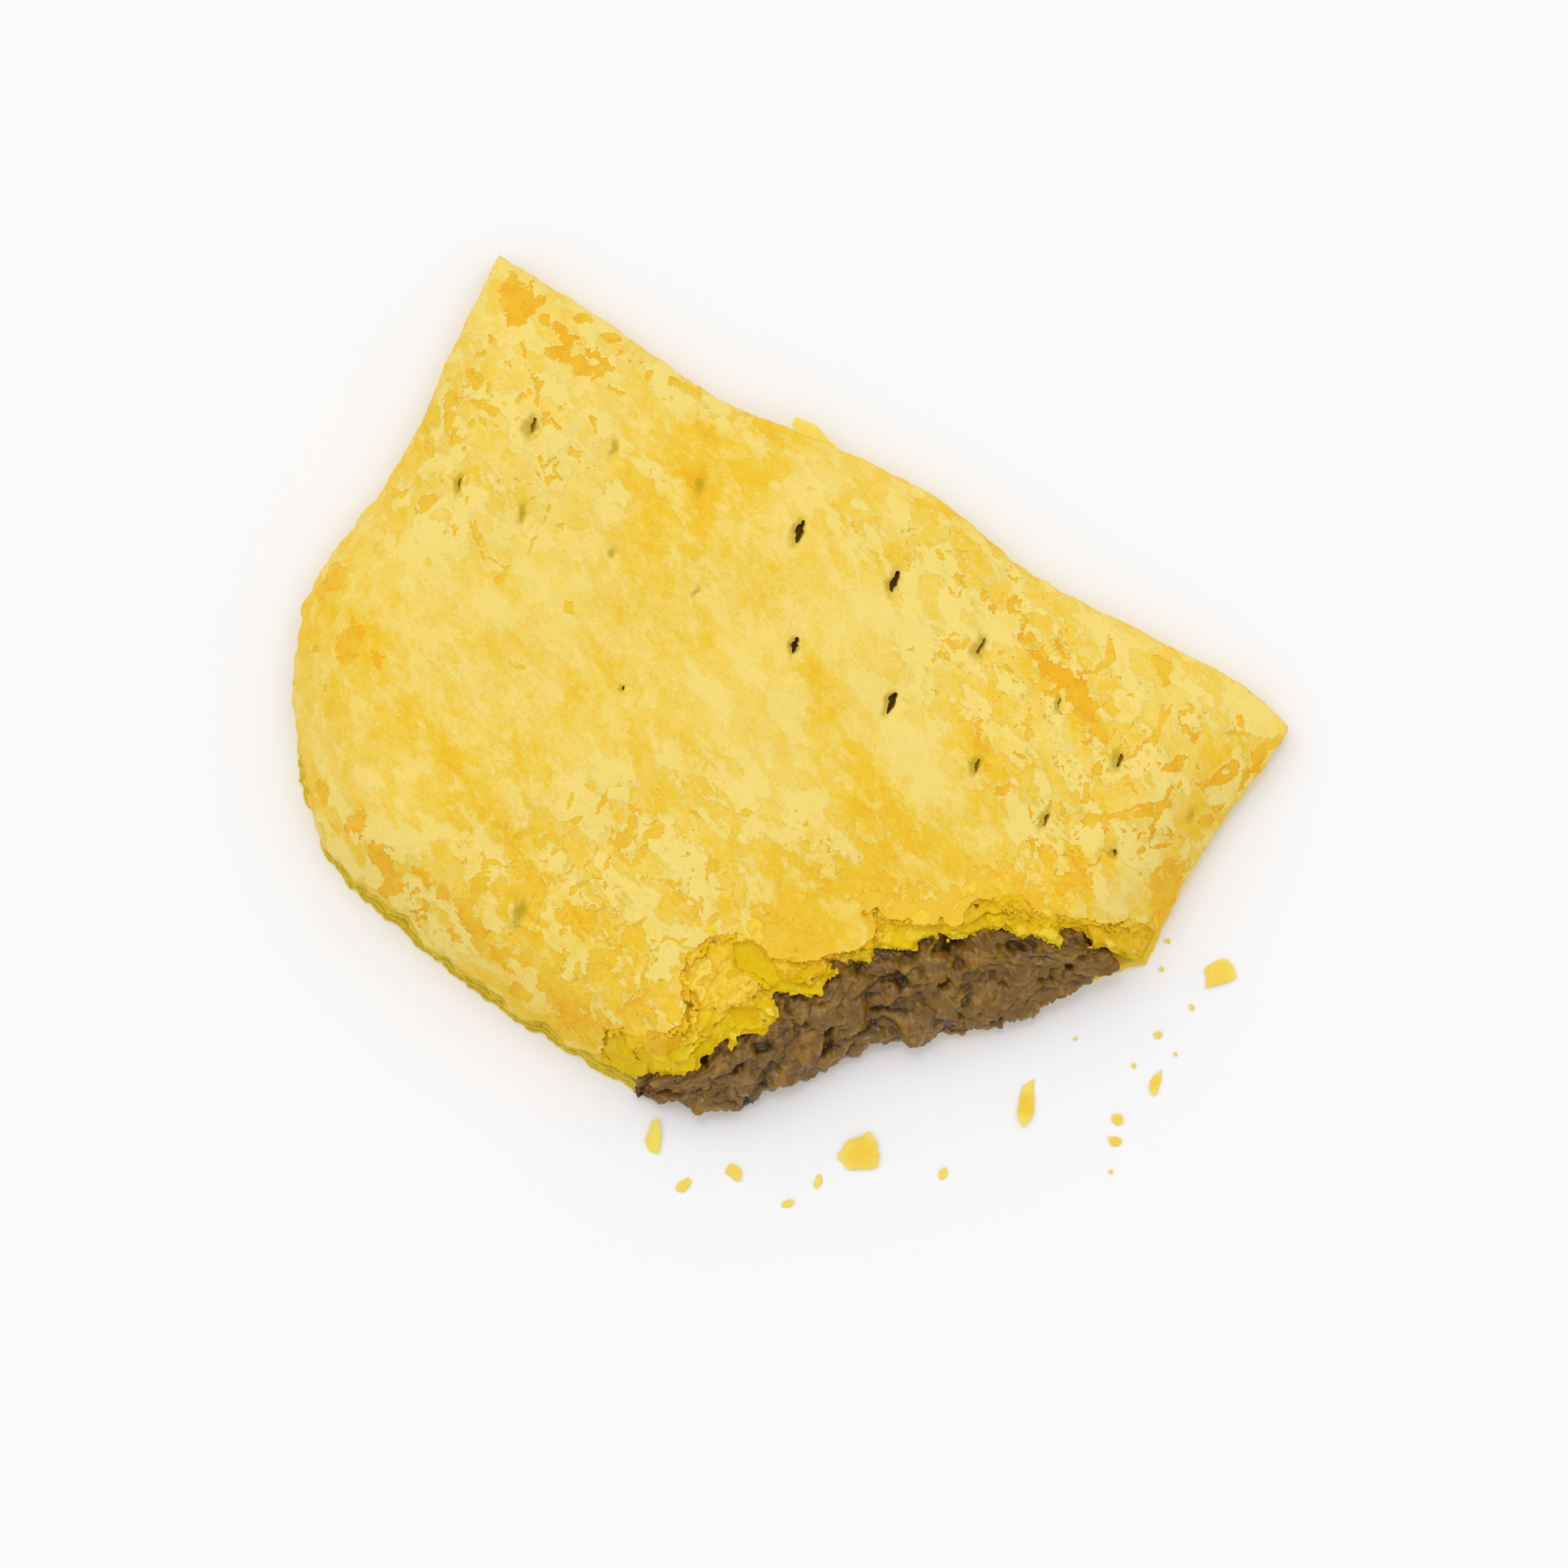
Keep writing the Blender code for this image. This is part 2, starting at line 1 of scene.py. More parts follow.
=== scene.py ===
"""Jamaican patty with one bite taken out: the looks of its pastry, its minced filling and its crumbs.

Shapes are worked out in millimetres on the patty's own plan (+X along the folded side, +Y
towards it, +Z up, origin under the middle of the box) and put into the meshes in metres.
"""

from __future__ import annotations

import logging
import math
from collections.abc import Iterator
from dataclasses import dataclass, field
from enum import Enum

import bmesh
import bpy
import numpy as np
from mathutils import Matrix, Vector
from mathutils.geometry import delaunay_2d_cdt

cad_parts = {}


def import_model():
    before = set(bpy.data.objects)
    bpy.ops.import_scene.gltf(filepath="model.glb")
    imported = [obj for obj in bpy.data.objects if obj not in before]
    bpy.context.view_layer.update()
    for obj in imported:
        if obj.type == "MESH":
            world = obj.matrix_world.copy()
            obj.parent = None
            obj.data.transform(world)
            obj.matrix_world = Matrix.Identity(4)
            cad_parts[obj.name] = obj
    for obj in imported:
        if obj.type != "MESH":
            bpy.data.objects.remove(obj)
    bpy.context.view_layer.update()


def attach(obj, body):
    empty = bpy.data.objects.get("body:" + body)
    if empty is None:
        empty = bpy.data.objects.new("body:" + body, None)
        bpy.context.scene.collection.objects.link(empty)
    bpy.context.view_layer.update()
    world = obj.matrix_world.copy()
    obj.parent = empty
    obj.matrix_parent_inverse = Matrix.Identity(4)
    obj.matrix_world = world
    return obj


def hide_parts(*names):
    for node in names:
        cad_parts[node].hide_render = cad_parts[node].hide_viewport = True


LOG = logging.getLogger("patty")
MM = 0.001
Array = np.ndarray
Socket = bpy.types.NodeSocket

# The pastry's plan and section, as in the solids.
HEIGHT = 18.0
CRUST = 2.9
BASE = 2.4
SEAM = 2.6
SEAL = 6.5
EDGE_TOP = 5.0
GAP = 0.3
FOLD_RISE = 25.0
ROUND_RISE = 17.0
LOOP_POINTS = 1400
# Turns on the plan, in degrees: of the steam slits, and of the skin's grain.
SLIT_TURN = 102.0
GRAIN_TURN = -14.0
# Boxes that hold the whole plan, and all of the bite's edges in the bite's own axes.
PLAN_BOX = ((-73.0, -53.0), (73.0, 53.0))
BITE_BOX = ((-36.0, 22.0), (66.0, 52.0))
ROUND_SIDE = [
    (-72.6, 50.0), (-72.0, 41.5), (-71.2, 31.5), (-69.8, 22.5), (-69.4, 13.5), (-70.2, 4.0),
    (-71.4, -7.0), (-69.8, -16.5), (-66.8, -23.5), (-61.8, -31.0), (-55.4, -39.4), (-48.8, -44.6),
    (-41.2, -47.9), (-32.2, -49.3), (-21.7, -50.9), (-8.2, -52.3), (9.8, -52.2), (25.8, -52.4),
    (41.8, -49.5), (54.8, -42.5), (64.3, -31.5), (70.2, -17.0), (72.6, -1.0), (72.2, 9.0),
    (71.0, 21.0), (71.0, 32.0), (72.0, 42.0), (72.6, 49.8),
]
FOLD_SIDE = [
    (72.6, 49.8), (66.3, 51.4), (59.8, 52.0), (49.8, 51.3), (39.8, 50.6), (29.8, 49.9),
    (21.3, 50.2), (10.8, 52.2), (-0.2, 52.4), (-10.2, 51.4), (-22.2, 49.7), (-30.2, 48.4),
    (-46.2, 49.2), (-58.2, 49.9), (-72.6, 50.0),
]
SWELLS = [
    (0.45, 0.115, 0.05, 0.8), (0.40, -0.06, 0.09, 2.1), (0.28, 0.21, -0.16, 4.0),
    (0.22, 0.24, 0.19, 1.2),
]

# How wide the bottom sheet shows beyond the top one along the front, by x.
FRONT_RIM = [
    (-66, 0), (-60, 1.1), (-56, 1.6), (-54, 0.6), (-52, 0.2), (-49, 0.9), (-45, 1.3), (-41, 1.5),
    (-35, 1.9), (-32, 2.5), (-29, 1.8), (-27, 1), (-23, 1.8), (-16, 1.9), (-12, 1.7), (-11, 1.1),
    (-8, 1.1), (-5, 2.2), (-3, 1.7), (0, 0.9), (3, 1.2), (6, 1.3),
]
# How wide the golden layer shows between the skin and its torn edge, by place along the bite.
GOLD_BAND = [
    (-4.5, -1.5), (-2.5, 3.6), (1, 4.6), (5.5, 4.8), (8, -0.5), (13, -0.5), (15.5, 3), (19, 3.6),
    (24, 4.4), (29, 3.4), (33, 4.2), (38, 4.6), (41, 3), (43.5, 1), (45, -1.5),
]
# The bite's edges, in axes turned an eighth of a turn: along the bite, and out of the patty.
SKIN_COAST = [
    (-35.4, 37.1), (-31.6, 39.1), (-29.7, 36.9), (-30.0, 34.8), (-27.1, 35.5), (-25.0, 37.5),
    (-22.8, 36.6), (-21.5, 37.7), (-17.6, 37.9), (-16.4, 35.1), (-16.3, 32.7), (-16.5, 30.4),
    (-14.8, 28.2), (-13.7, 26.8), (-12.0, 26.3), (-10.0, 25.1), (-7.5, 25.5), (-6.0, 24.9),
    (-4.4, 26.2), (-2.8, 27.9), (-1.5, 30.6), (1.5, 31.7), (4.5, 32.7), (7.0, 32.3), (10.5, 32.6),
    (14.1, 32.2), (15.7, 30.0), (14.1, 27.2), (16.4, 27.3), (17.4, 29.6), (19.6, 30.4), (21.0, 29.8),
    (22.0, 31.3), (24.5, 31.8), (25.9, 31.3), (27.5, 33.0), (29.0, 32.6), (30.1, 30.5), (32.3, 29.5),
    (34.7, 30.3), (37.4, 30.0), (39.2, 31.7), (40.1, 33.5), (41.5, 34.9), (44.1, 35.6), (48.1, 37.3),
    (53.6, 39.4), (56.0, 39.6), (57.4, 41.2), (58.6, 42.8), (60.5, 44.5),
]
LAYER_COAST = [
    (-28.7, 44.4), (-27.3, 44.1), (-24.9, 43.2), (-21.0, 45.1), (-17.2, 44.7), (-16.3, 43.2),
    (-13.7, 42.3), (-12.1, 41.1), (-11.0, 41.0), (-11.1, 43.2), (-9.9, 41.7), (-8.4, 41.0),
    (-5.7, 42.0), (-4.2, 41.0), (-3.0, 40.4), (-2.7, 39.2), (-3.1, 36.8), (-1.9, 36.3), (1.4, 37.2),
    (4.6, 38.6), (6.0, 36.1), (7.5, 35.6), (6.8, 33.0), (8.8, 33.9), (13.2, 34.6), (14.7, 33.0),
    (17.3, 34.1), (20.3, 35.1), (21.3, 33.8), (23.4, 33.3), (27.0, 34.8), (30.3, 35.0), (33.6, 34.9),
    (35.4, 35.4), (36.9, 37.3), (38.9, 37.2), (41.1, 38.8), (42.7, 40.5), (43.1, 37.2), (45.3, 37.9),
    (47.5, 38.7), (47.5, 41.3), (49.5, 42.2), (54.1, 45.0), (56.1, 44.8), (57.6, 42.6),
]
LAYER_EDGE = [
    (-32.8, 49.6), (-26.3, 45.2), (-17.3, 43.5), (-10.3, 41.0), (-2.8, 38.6), (5.2, 36.4),
    (13.2, 33.8), (21.2, 34.6), (29.2, 34.6), (35.2, 36.9), (42.2, 39.2), (48.2, 40.4),
    (56.7, 43.7), (63.2, 46.6),
]
FILLING_EDGE = [
    (-26.8, 46.0), (-25.2, 47.8), (-20.1, 50.2), (-15.8, 52.8), (-12.4, 54.2), (-9.8, 53.9),
    (-8.0, 52.2), (-5.8, 51.9), (-0.4, 51.6), (6.2, 49.4), (10.7, 48.6), (19.2, 51.0),
    (26.2, 51.4), (33.2, 49.8), (39.2, 48.6), (45.2, 48.4), (47.6, 46.4), (49.2, 45.2), (50.0, 44.0),
]
BASE_EDGE = [
    (-32.8, 49.6), (-26.0, 45.6), (-22.8, 46.7), (-15.8, 49.6), (-10.8, 51.2), (-4.8, 49.8),
    (2.2, 48.5), (10.2, 46.4), (19.2, 48.6), (26.2, 49.4), (33.2, 48.2), (41.2, 47.4),
    (47.2, 46.8), (51.7, 46.4), (57.7, 46.5), (63.2, 48.6),
]


def ramp(value: Array, start: float, width: float) -> Array:
    """0 up to the start, and from there smoothly up to 1 over the width: 3t^2 - 2t^3."""
    t = np.clip((value - start) / width, 0.0, 1.0)
    return t * t * (3.0 - 2.0 * t)


class Noise:
    """Smooth noise on a plane.

    Each corner of a square lattice has a random slope, and at a place between them the four
    slopes are blended by 6t^5 - 15t^4 + 10t^3 along each axis.
    """

    def __init__(self, seed: int) -> None:
        """Draws the slopes."""
        draw = np.random.default_rng(seed)
        turn = draw.uniform(0.0, 2.0 * math.pi, 256)
        self.slopes = np.stack([np.cos(turn), np.sin(turn)], axis=1)
        self.order = np.tile(draw.permutation(256), 2)

    def at(self, x: Array, y: Array) -> Array:
        """Noise of about -1 to 1 at places given in lattice cells."""
        x, y = np.broadcast_arrays(np.asarray(x, float), np.asarray(y, float))
        left, low = np.floor(x).astype(int), np.floor(y).astype(int)
        fx, fy = x - left, y - low
        u = fx**3 * (fx * (fx * 6.0 - 15.0) + 10.0)
        v = fy**3 * (fy * (fy * 6.0 - 15.0) + 10.0)

        def corner(dx: int, dy: int) -> Array:
            """The rise from one corner of each place's cell: its slope times the way from it."""
            slope = self.slopes[self.order[self.order[(left + dx) & 255] + ((low + dy) & 255)]]
            return slope[..., 0] * (fx - dx) + slope[..., 1] * (fy - dy)

        lower = corner(0, 0) * (1.0 - u) + corner(1, 0) * u
        upper = corner(0, 1) * (1.0 - u) + corner(1, 1) * u
        return 1.6 * (lower * (1.0 - v) + upper * v)

    def fractal(self, x: Array, y: Array, size: float, octaves: int, fade: float = 0.5) -> Array:
        """Sum of octaves, each half the size of the one before and weaker by fade."""
        total, weight, weights = 0.0, 1.0, 0.0
        for octave in range(octaves):
            scale = 2.0**octave / size
            total = total + weight * self.at(x * scale + 17.3 * octave, y * scale - 9.1 * octave)
            weights += weight
            weight *= fade
        return total / weights

    def pair(self, xy: Array, apart: float, size: float, octaves: int, fade: float) -> Array:
        """Two unlike fractal noises at each place, to push it about with: the second is read apart."""
        return np.stack([self.fractal(*(xy + k).T, size, octaves, fade) for k in (0.0, apart)], axis=1)


class Cells:
    """Points scattered one to a cell of a square lattice, with what lies nearest to a place."""

    COUNT = 64

    def __init__(self, seed: int, size: float) -> None:
        """Draws a place, a tone and a slope for each cell of a square of cells, which then repeats."""
        draw = np.random.default_rng(seed)
        square = (self.COUNT, self.COUNT)
        self.size = size
        self.places = draw.uniform(0.08, 0.92, (*square, 2))
        self.tones = draw.uniform(0.0, 1.0, square)
        self.tilts = draw.normal(0.0, 1.0, (*square, 2))

    def around(self, x: Array, y: Array) -> Iterator[tuple[Array, Array, Array, Array]]:
        """The nine points in and round each place's cell: their indices and how far off they are."""
        left, low = np.floor(x).astype(int), np.floor(y).astype(int)
        for dx in (-1, 0, 1):
            for dy in (-1, 0, 1):
                i, j = (left + dx) % self.COUNT, (low + dy) % self.COUNT
                yield i, j, left + dx + self.places[i, j, 0] - x, low + dy + self.places[i, j, 1] - y

    def tilt(self, x: Array, y: Array) -> Array:
        """How far each place is up or down the slope of its nearest point's plate, about -1 to 1."""
        x, y = x / self.size, y / self.size
        nearest, tilt = np.full(x.shape, 9.0), np.zeros(x.shape)
        for i, j, ax, ay in self.around(x, y):
            away = np.hypot(ax, ay)
            leaning = ax * self.tilts[i, j, 0] + ay * self.tilts[i, j, 1]
            tilt = np.where(away < nearest, leaning, tilt)
            nearest = np.minimum(nearest, away)
        return tilt

    def heaped(self, x: Array, y: Array, reach: float) -> Array:
        """Bells that melt together: the sum of high * exp(-2 (d / reach)^2) over the nine points."""
        x, y = x / self.size, y / self.size
        total = np.zeros(x.shape)
        for i, j, ax, ay in self.around(x, y):
            high = 0.4 + 1.2 * self.tones[i, j]
            total += high * np.exp(-2.0 * (ax**2 + ay**2) * (self.size / reach) ** 2)
        return total


def catmull_rom(p0: Array, p1: Array, p2: Array, p3: Array, t: Array) -> Array:
    """The cubic from p1 at t = 0 to p2 at t = 1 whose slopes there follow p0 and p3."""
    cubic = 3 * p1 - p0 - 3 * p2 + p3
    return 0.5 * (2 * p1 + (p2 - p0) * t + (2 * p0 - 5 * p1 + 4 * p2 - p3) * t**2 + cubic * t**3)


def smooth_curve(points: list, count: int) -> Array:
    """Points spaced by chord length along a Catmull-Rom curve through the given ones."""
    given = np.array(points, float)
    ends = np.vstack([2 * given[0] - given[1], given, 2 * given[-1] - given[-2]])
    chords = arc_length(given)
    place = np.linspace(0.0, chords[-1], count + 1)
    span = np.clip(np.searchsorted(chords, place, side="right") - 1, 0, len(given) - 2)
    t = ((place - chords[span]) / (chords[span + 1] - chords[span]))[:, None]
    return catmull_rom(*(ends[span + k] for k in range(4)), t)


def arc_length(points: Array) -> Array:
    """How far along an open run of straight pieces each of its points is."""
    return np.concatenate([[0.0], np.cumsum(np.linalg.norm(np.diff(points, axis=0), axis=1))])


def inward_normal(loop: Array, reach: int) -> Array:
    """Square to the line between the points a reach before and after, to the left of the run."""
    ahead = np.roll(loop, -reach, axis=0) - np.roll(loop, reach, axis=0)
    inward = np.stack([-ahead[:, 1], ahead[:, 0]], axis=1)
    return inward / np.linalg.norm(inward, axis=1)[:, None]


def moved_in(loop: Array, distance: float | Array) -> Array:
    """An anticlockwise closed loop moved inwards, square to the line between its neighbours."""
    return loop + inward_normal(loop, 1) * np.broadcast_to(distance, len(loop))[:, None]


def plan_axes(xy: Array, x: float, y: float, turn_deg: float) -> tuple[Array, Array]:
    """Each place along and across a line through (x, y) that is turned on the plan."""
    turn = math.radians(turn_deg)
    dx, dy = xy[:, 0] - x, xy[:, 1] - y
    return dx * math.cos(turn) + dy * math.sin(turn), dy * math.cos(turn) - dx * math.sin(turn)


def nearest_on(curve: Array, xy: Array) -> tuple[Array, Array]:
    """Distance to an open run of straight pieces, and the number of the nearest piece."""
    start, run = curve[:-1], np.diff(curve, axis=0)
    square = (run * run).sum(1)
    distance, piece = np.empty(len(xy)), np.empty(len(xy), int)
    for first in range(0, len(xy), 20000):
        block = slice(first, first + 20000)
        apart = xy[block, None, :] - start[None]
        share = np.clip((apart * run).sum(2) / square, 0.0, 1.0)
        away = np.linalg.norm(apart - share[..., None] * run, axis=2)
        piece[block] = away.argmin(axis=1)
        distance[block] = away.min(axis=1)
    return distance, piece


def inside(loop: Array, xy: Array) -> Array:
    """True inside a closed loop: from there, a ray to the right crosses it an odd number of times."""
    odd = np.zeros(len(xy), bool)
    x, y = xy.T
    for (x0, y0), (x1, y1) in zip(loop, np.roll(loop, -1, axis=0)):
        spans = (y0 > y) != (y1 > y)
        odd ^= spans & (x < x0 + (y - y0) * (x1 - x0) / (y1 - y0 if y1 != y0 else 1.0))
    return odd


def signed(loop: Array, xy: Array) -> Array:
    """Distance to a closed loop, above 0 inside it and below 0 outside."""
    away, _ = nearest_on(np.vstack([loop, loop[:1]]), xy)
    return np.where(inside(loop, xy), away, -away)


def behind(coast: list, along_out: Array) -> Array:
    """Distance behind an edge of the bite, towards the patty's middle, and below 0 beyond the edge."""
    curve = np.array(coast, float)
    first, last = curve[0], curve[-1]
    far = [last + (90.0, 0.0), (last[0] + 90.0, -90.0), (first[0] - 90.0, -90.0), first - (90.0, 0.0)]
    return signed(np.vstack([curve, far]), along_out)


class Form:
    """The patty's outline, its baked top and the places of its bite, which all pieces share."""

    def __init__(self) -> None:
        """Works out the outline's two stretches and the loops that follow from them."""
        self.round_part = smooth_curve(ROUND_SIDE, 62)
        self.fold_part = smooth_curve(FOLD_SIDE, 28)
        coarse = np.vstack([self.round_part[:-1], self.fold_part[:-1]])
        closed = np.vstack([coarse, coarse[:1]])
        steps = arc_length(closed)
        place = np.linspace(0.0, steps[-1], LOOP_POINTS, endpoint=False)
        self.loop = np.stack([np.interp(place, steps, closed[:, k]) for k in (0, 1)], axis=1)
        self.edge_noise = Noise(5)
        self.top_loop = moved_in(self.loop, 0.12 + self.stands_out(self.loop) + self.wear(self.loop))

    def stands_out(self, xy: Array) -> Array:
        """How far the bottom sheet stands out beyond the top one: at the front and the right end."""
        x, y = xy.T
        wide, shown = np.array(FRONT_RIM).T
        front = np.interp(x, wide, shown) * np.clip((-y - 28.0) / 8.0, 0.0, 1.0)
        right = np.clip((x - 66.0) / 4.0, 0.0, 1.0) * np.clip((29.0 - y) / 20.0, 0.0, 1.0)
        return front + 0.9 * right

    def wear(self, xy: Array) -> Array:
        """Small dents and bulges of an edge, from noise at the place itself."""
        strength = 0.5 + 0.8 * ramp(-xy[:, 1], -25.0, 35.0)
        return 0.25 + strength * self.edge_noise.fractal(xy[:, 0], xy[:, 1], 5.0, 4, 0.6)

    def top(self, xy: Array) -> Array:
        """Height of the unbroken skin: shoulders 1 - (1 - d/reach)^p on both stretches, swollen."""
        round_away, _ = nearest_on(self.round_part, xy)
        fold_away, _ = nearest_on(self.fold_part, xy)
        share = 1.0 - (1.0 - np.clip((round_away - 0.5) / ROUND_RISE, 0.0, 1.0)) ** 2.3
        share *= 1.0 - (1.0 - np.clip((fold_away - 0.5) / FOLD_RISE, 0.0, 1.0)) ** 1.9
        x, y = xy.T
        swell = sum(high * np.sin(by_x * x + by_y * y + start) for high, by_x, by_y, start in SWELLS)
        ends = ((x + 4.0) / 70.0) ** 2
        crown = HEIGHT - 1.4 * ends - 1.6 * np.clip((y + 5.0) / 50.0, 0.0, 1.0) ** 2
        return EDGE_TOP + (crown - EDGE_TOP + swell) * share

    @staticmethod
    def to_bite(xy: Array) -> Array:
        """(along, out) of places on the plan."""
        return np.stack([xy[:, 0] + xy[:, 1], xy[:, 0] - xy[:, 1]], axis=1) * math.sqrt(0.5)

    @staticmethod
    def from_bite(along_out: Array) -> Array:
        """Places on the plan of (along, out)."""
        along, out = np.asarray(along_out, float).T
        return np.stack([along + out, along - out], axis=1) * math.sqrt(0.5)

    @staticmethod
    def edge(points: list, along: Array) -> Array:
        """How far out an edge of the bite is at each place along it."""
        corners = np.array(points, float)
        return np.interp(along, corners[:, 0], corners[:, 1])


# The least share of an edge that a cut leaves on either side, so that no triangle is a sliver.
NEAREST_CUT = 0.04


@dataclass
class Sheet:
    """A triangulated run of surface: places on the plan and triangles, with a level for each."""

    xy: Array
    faces: Array
    level: Array = field(default_factory=lambda: np.zeros(0, int))
    walls: list = field(default_factory=list)

    @classmethod
    def lattice(cls, low: tuple, high: tuple, pitch: float) -> Sheet:
        """Equilateral triangles over a box: rows half a pitch out of step with each other."""
        rows = int((high[1] - low[1]) / (pitch * math.sqrt(0.75))) + 1
        columns = int((high[0] - low[0]) / pitch) + 1
        row, column = np.mgrid[0:rows, 0:columns]
        x = low[0] + (column + 0.5 * (row % 2)) * pitch
        y = low[1] + row * pitch * math.sqrt(0.75)
        spot = row * columns + column
        a, b, c, d = spot[:-1, :-1], spot[:-1, 1:], spot[1:, 1:], spot[1:, :-1]
        even = (row[:-1, :-1] % 2 == 0)[..., None]
        first = np.where(even, np.stack([a, b, d], -1), np.stack([a, b, c], -1))
        second = np.where(even, np.stack([b, c, d], -1), np.stack([a, c, d], -1))
        faces = np.concatenate([first.reshape(-1, 3), second.reshape(-1, 3)])
        xy = np.stack([x.ravel(), y.ravel()], axis=1)
        return cls(xy, faces, np.zeros(len(faces), int))

    def split(self, value: Array, level: int, keep_outside: bool) -> None:
        """Cuts this level's triangles along value = 0, at the point where each edge crosses it.

        Args:
            value: one number for each place, above 0 on the side that stays at this level.
            level: the level that is cut.
            keep_outside: whether the other side goes on, one level lower, or is dropped.
        """
        value = np.where(np.abs(value) < 1e-6, 1e-6, value)
        mine = self.level == level
        faces, rest = self.faces[mine], self.faces[~mine]
        rest_level = self.level[~mine]
        above = value[faces] > 0.0
        count = above.sum(1)
        whole, gone = faces[count == 3], faces[count == 0]
        mixed = faces[(count == 1) | (count == 2)]
        above = value[mixed] > 0.0
        lone_up = above.sum(1) == 1
        lone = np.where(lone_up[:, None], above, ~above).argmax(1)
        turned = np.take_along_axis(mixed, (lone[:, None] + np.arange(3)) % 3, 1)
        pairs = np.sort(np.concatenate([turned[:, [0, 1]], turned[:, [0, 2]]]), axis=1)
        unique, number = np.unique(pairs, axis=0, return_inverse=True)
        number = number.reshape(-1) + len(self.xy)
        near, far = value[unique[:, 0]], value[unique[:, 1]]
        share = np.clip(near / (near - far), NEAREST_CUT, 1.0 - NEAREST_CUT)[:, None]
        crossing = self.xy[unique[:, 0]] * (1 - share) + self.xy[unique[:, 1]] * share
        self.xy = np.vstack([self.xy, crossing])
        p, q = number[: len(turned)], number[len(turned) :]
        a, b, c = turned.T
        tip = np.stack([a, p, q], 1)
        stump = np.concatenate([np.stack([p, b, c], 1), np.stack([p, c, q], 1)])
        twice = np.concatenate([lone_up, lone_up])
        kept = np.concatenate([whole, tip[lone_up], stump[~twice]])
        parts, levels = [rest, kept], [rest_level, np.full(len(kept), level)]
        if keep_outside:
            lower = np.concatenate([gone, tip[~lone_up], stump[twice]])
            parts.append(lower)
            levels.append(np.full(len(lower), level + 1))
            edge = np.where(lone_up[:, None], np.stack([p, q], 1), np.stack([q, p], 1))
            self.walls.append((level, edge))
        self.faces, self.level = np.concatenate(parts), np.concatenate(levels)

    def refine(self, marked: Array) -> None:
        """Halves all edges of the marked triangles; triangles beside them split to match.

        With 1, 2 or 3 halved edges, a triangle becomes 2, 3 or 4. Each is first turned so that
        its halved edges come first.
        """
        sides = np.sort(self.faces[:, [[0, 1], [1, 2], [2, 0]]], axis=2)
        key = sides[..., 0] * np.int64(len(self.xy)) + sides[..., 1]
        chosen = np.unique(key[marked])
        at = np.minimum(np.searchsorted(chosen, key), len(chosen) - 1)
        hit = chosen[at] == key
        middle = len(self.xy) + at
        ends = np.stack([chosen // len(self.xy), chosen % len(self.xy)], axis=1)
        self.xy = np.vstack([self.xy, self.xy[ends].mean(axis=1)])
        count = hit.sum(axis=1)
        after_whole = np.where(count == 2, (~hit).argmax(axis=1) + 1, 0)
        start = np.where(count == 1, hit.argmax(axis=1), after_whole)
        order = (start[:, None] + np.arange(3)) % 3
        a, b, c = np.take_along_axis(self.faces, order, 1).T
        p, q, r = np.take_along_axis(middle, order, 1).T
        parts = [self.faces[count == 0]]
        for halved, corners in (
            (1, ((a, p, c), (p, b, c))),
            (2, ((p, b, q), (a, p, q), (a, q, c))),
            (3, ((a, p, r), (p, b, q), (r, q, c), (p, q, r))),
        ):
            parts += [np.stack(corner, axis=1)[count == halved] for corner in corners]
        self.faces = np.concatenate(parts)
        self.level = np.zeros(len(self.faces), int)

    def crossed(self, value: Array, margin: float) -> Array:
        """Triangles that value = 0 crosses, or nearly: by a margin times its change over each."""
        corners = value[self.faces]
        low, high = corners.min(axis=1), corners.max(axis=1)
        near = margin * (high - low)
        return (low < near) & (high > -near)

    def rim(self) -> Array:
        """Directed edges that have a triangle on their left and none on their right."""
        edges = np.concatenate([self.faces[:, [0, 1]], self.faces[:, [1, 2]], self.faces[:, [2, 0]]])
        key = edges[:, 0] * np.int64(len(self.xy)) + edges[:, 1]
        back = edges[:, 1] * np.int64(len(self.xy)) + edges[:, 0]
        return edges[~np.isin(key, back)]

    def trimmed(self) -> tuple[Array, Array, Array]:
        """The places that triangles use, and the triangles and the rim numbered to match."""
        used = np.unique(self.faces)
        renumber = np.zeros(len(self.xy), int)
        renumber[used] = np.arange(len(used))
        return self.xy[used], renumber[self.faces], renumber[self.rim()]


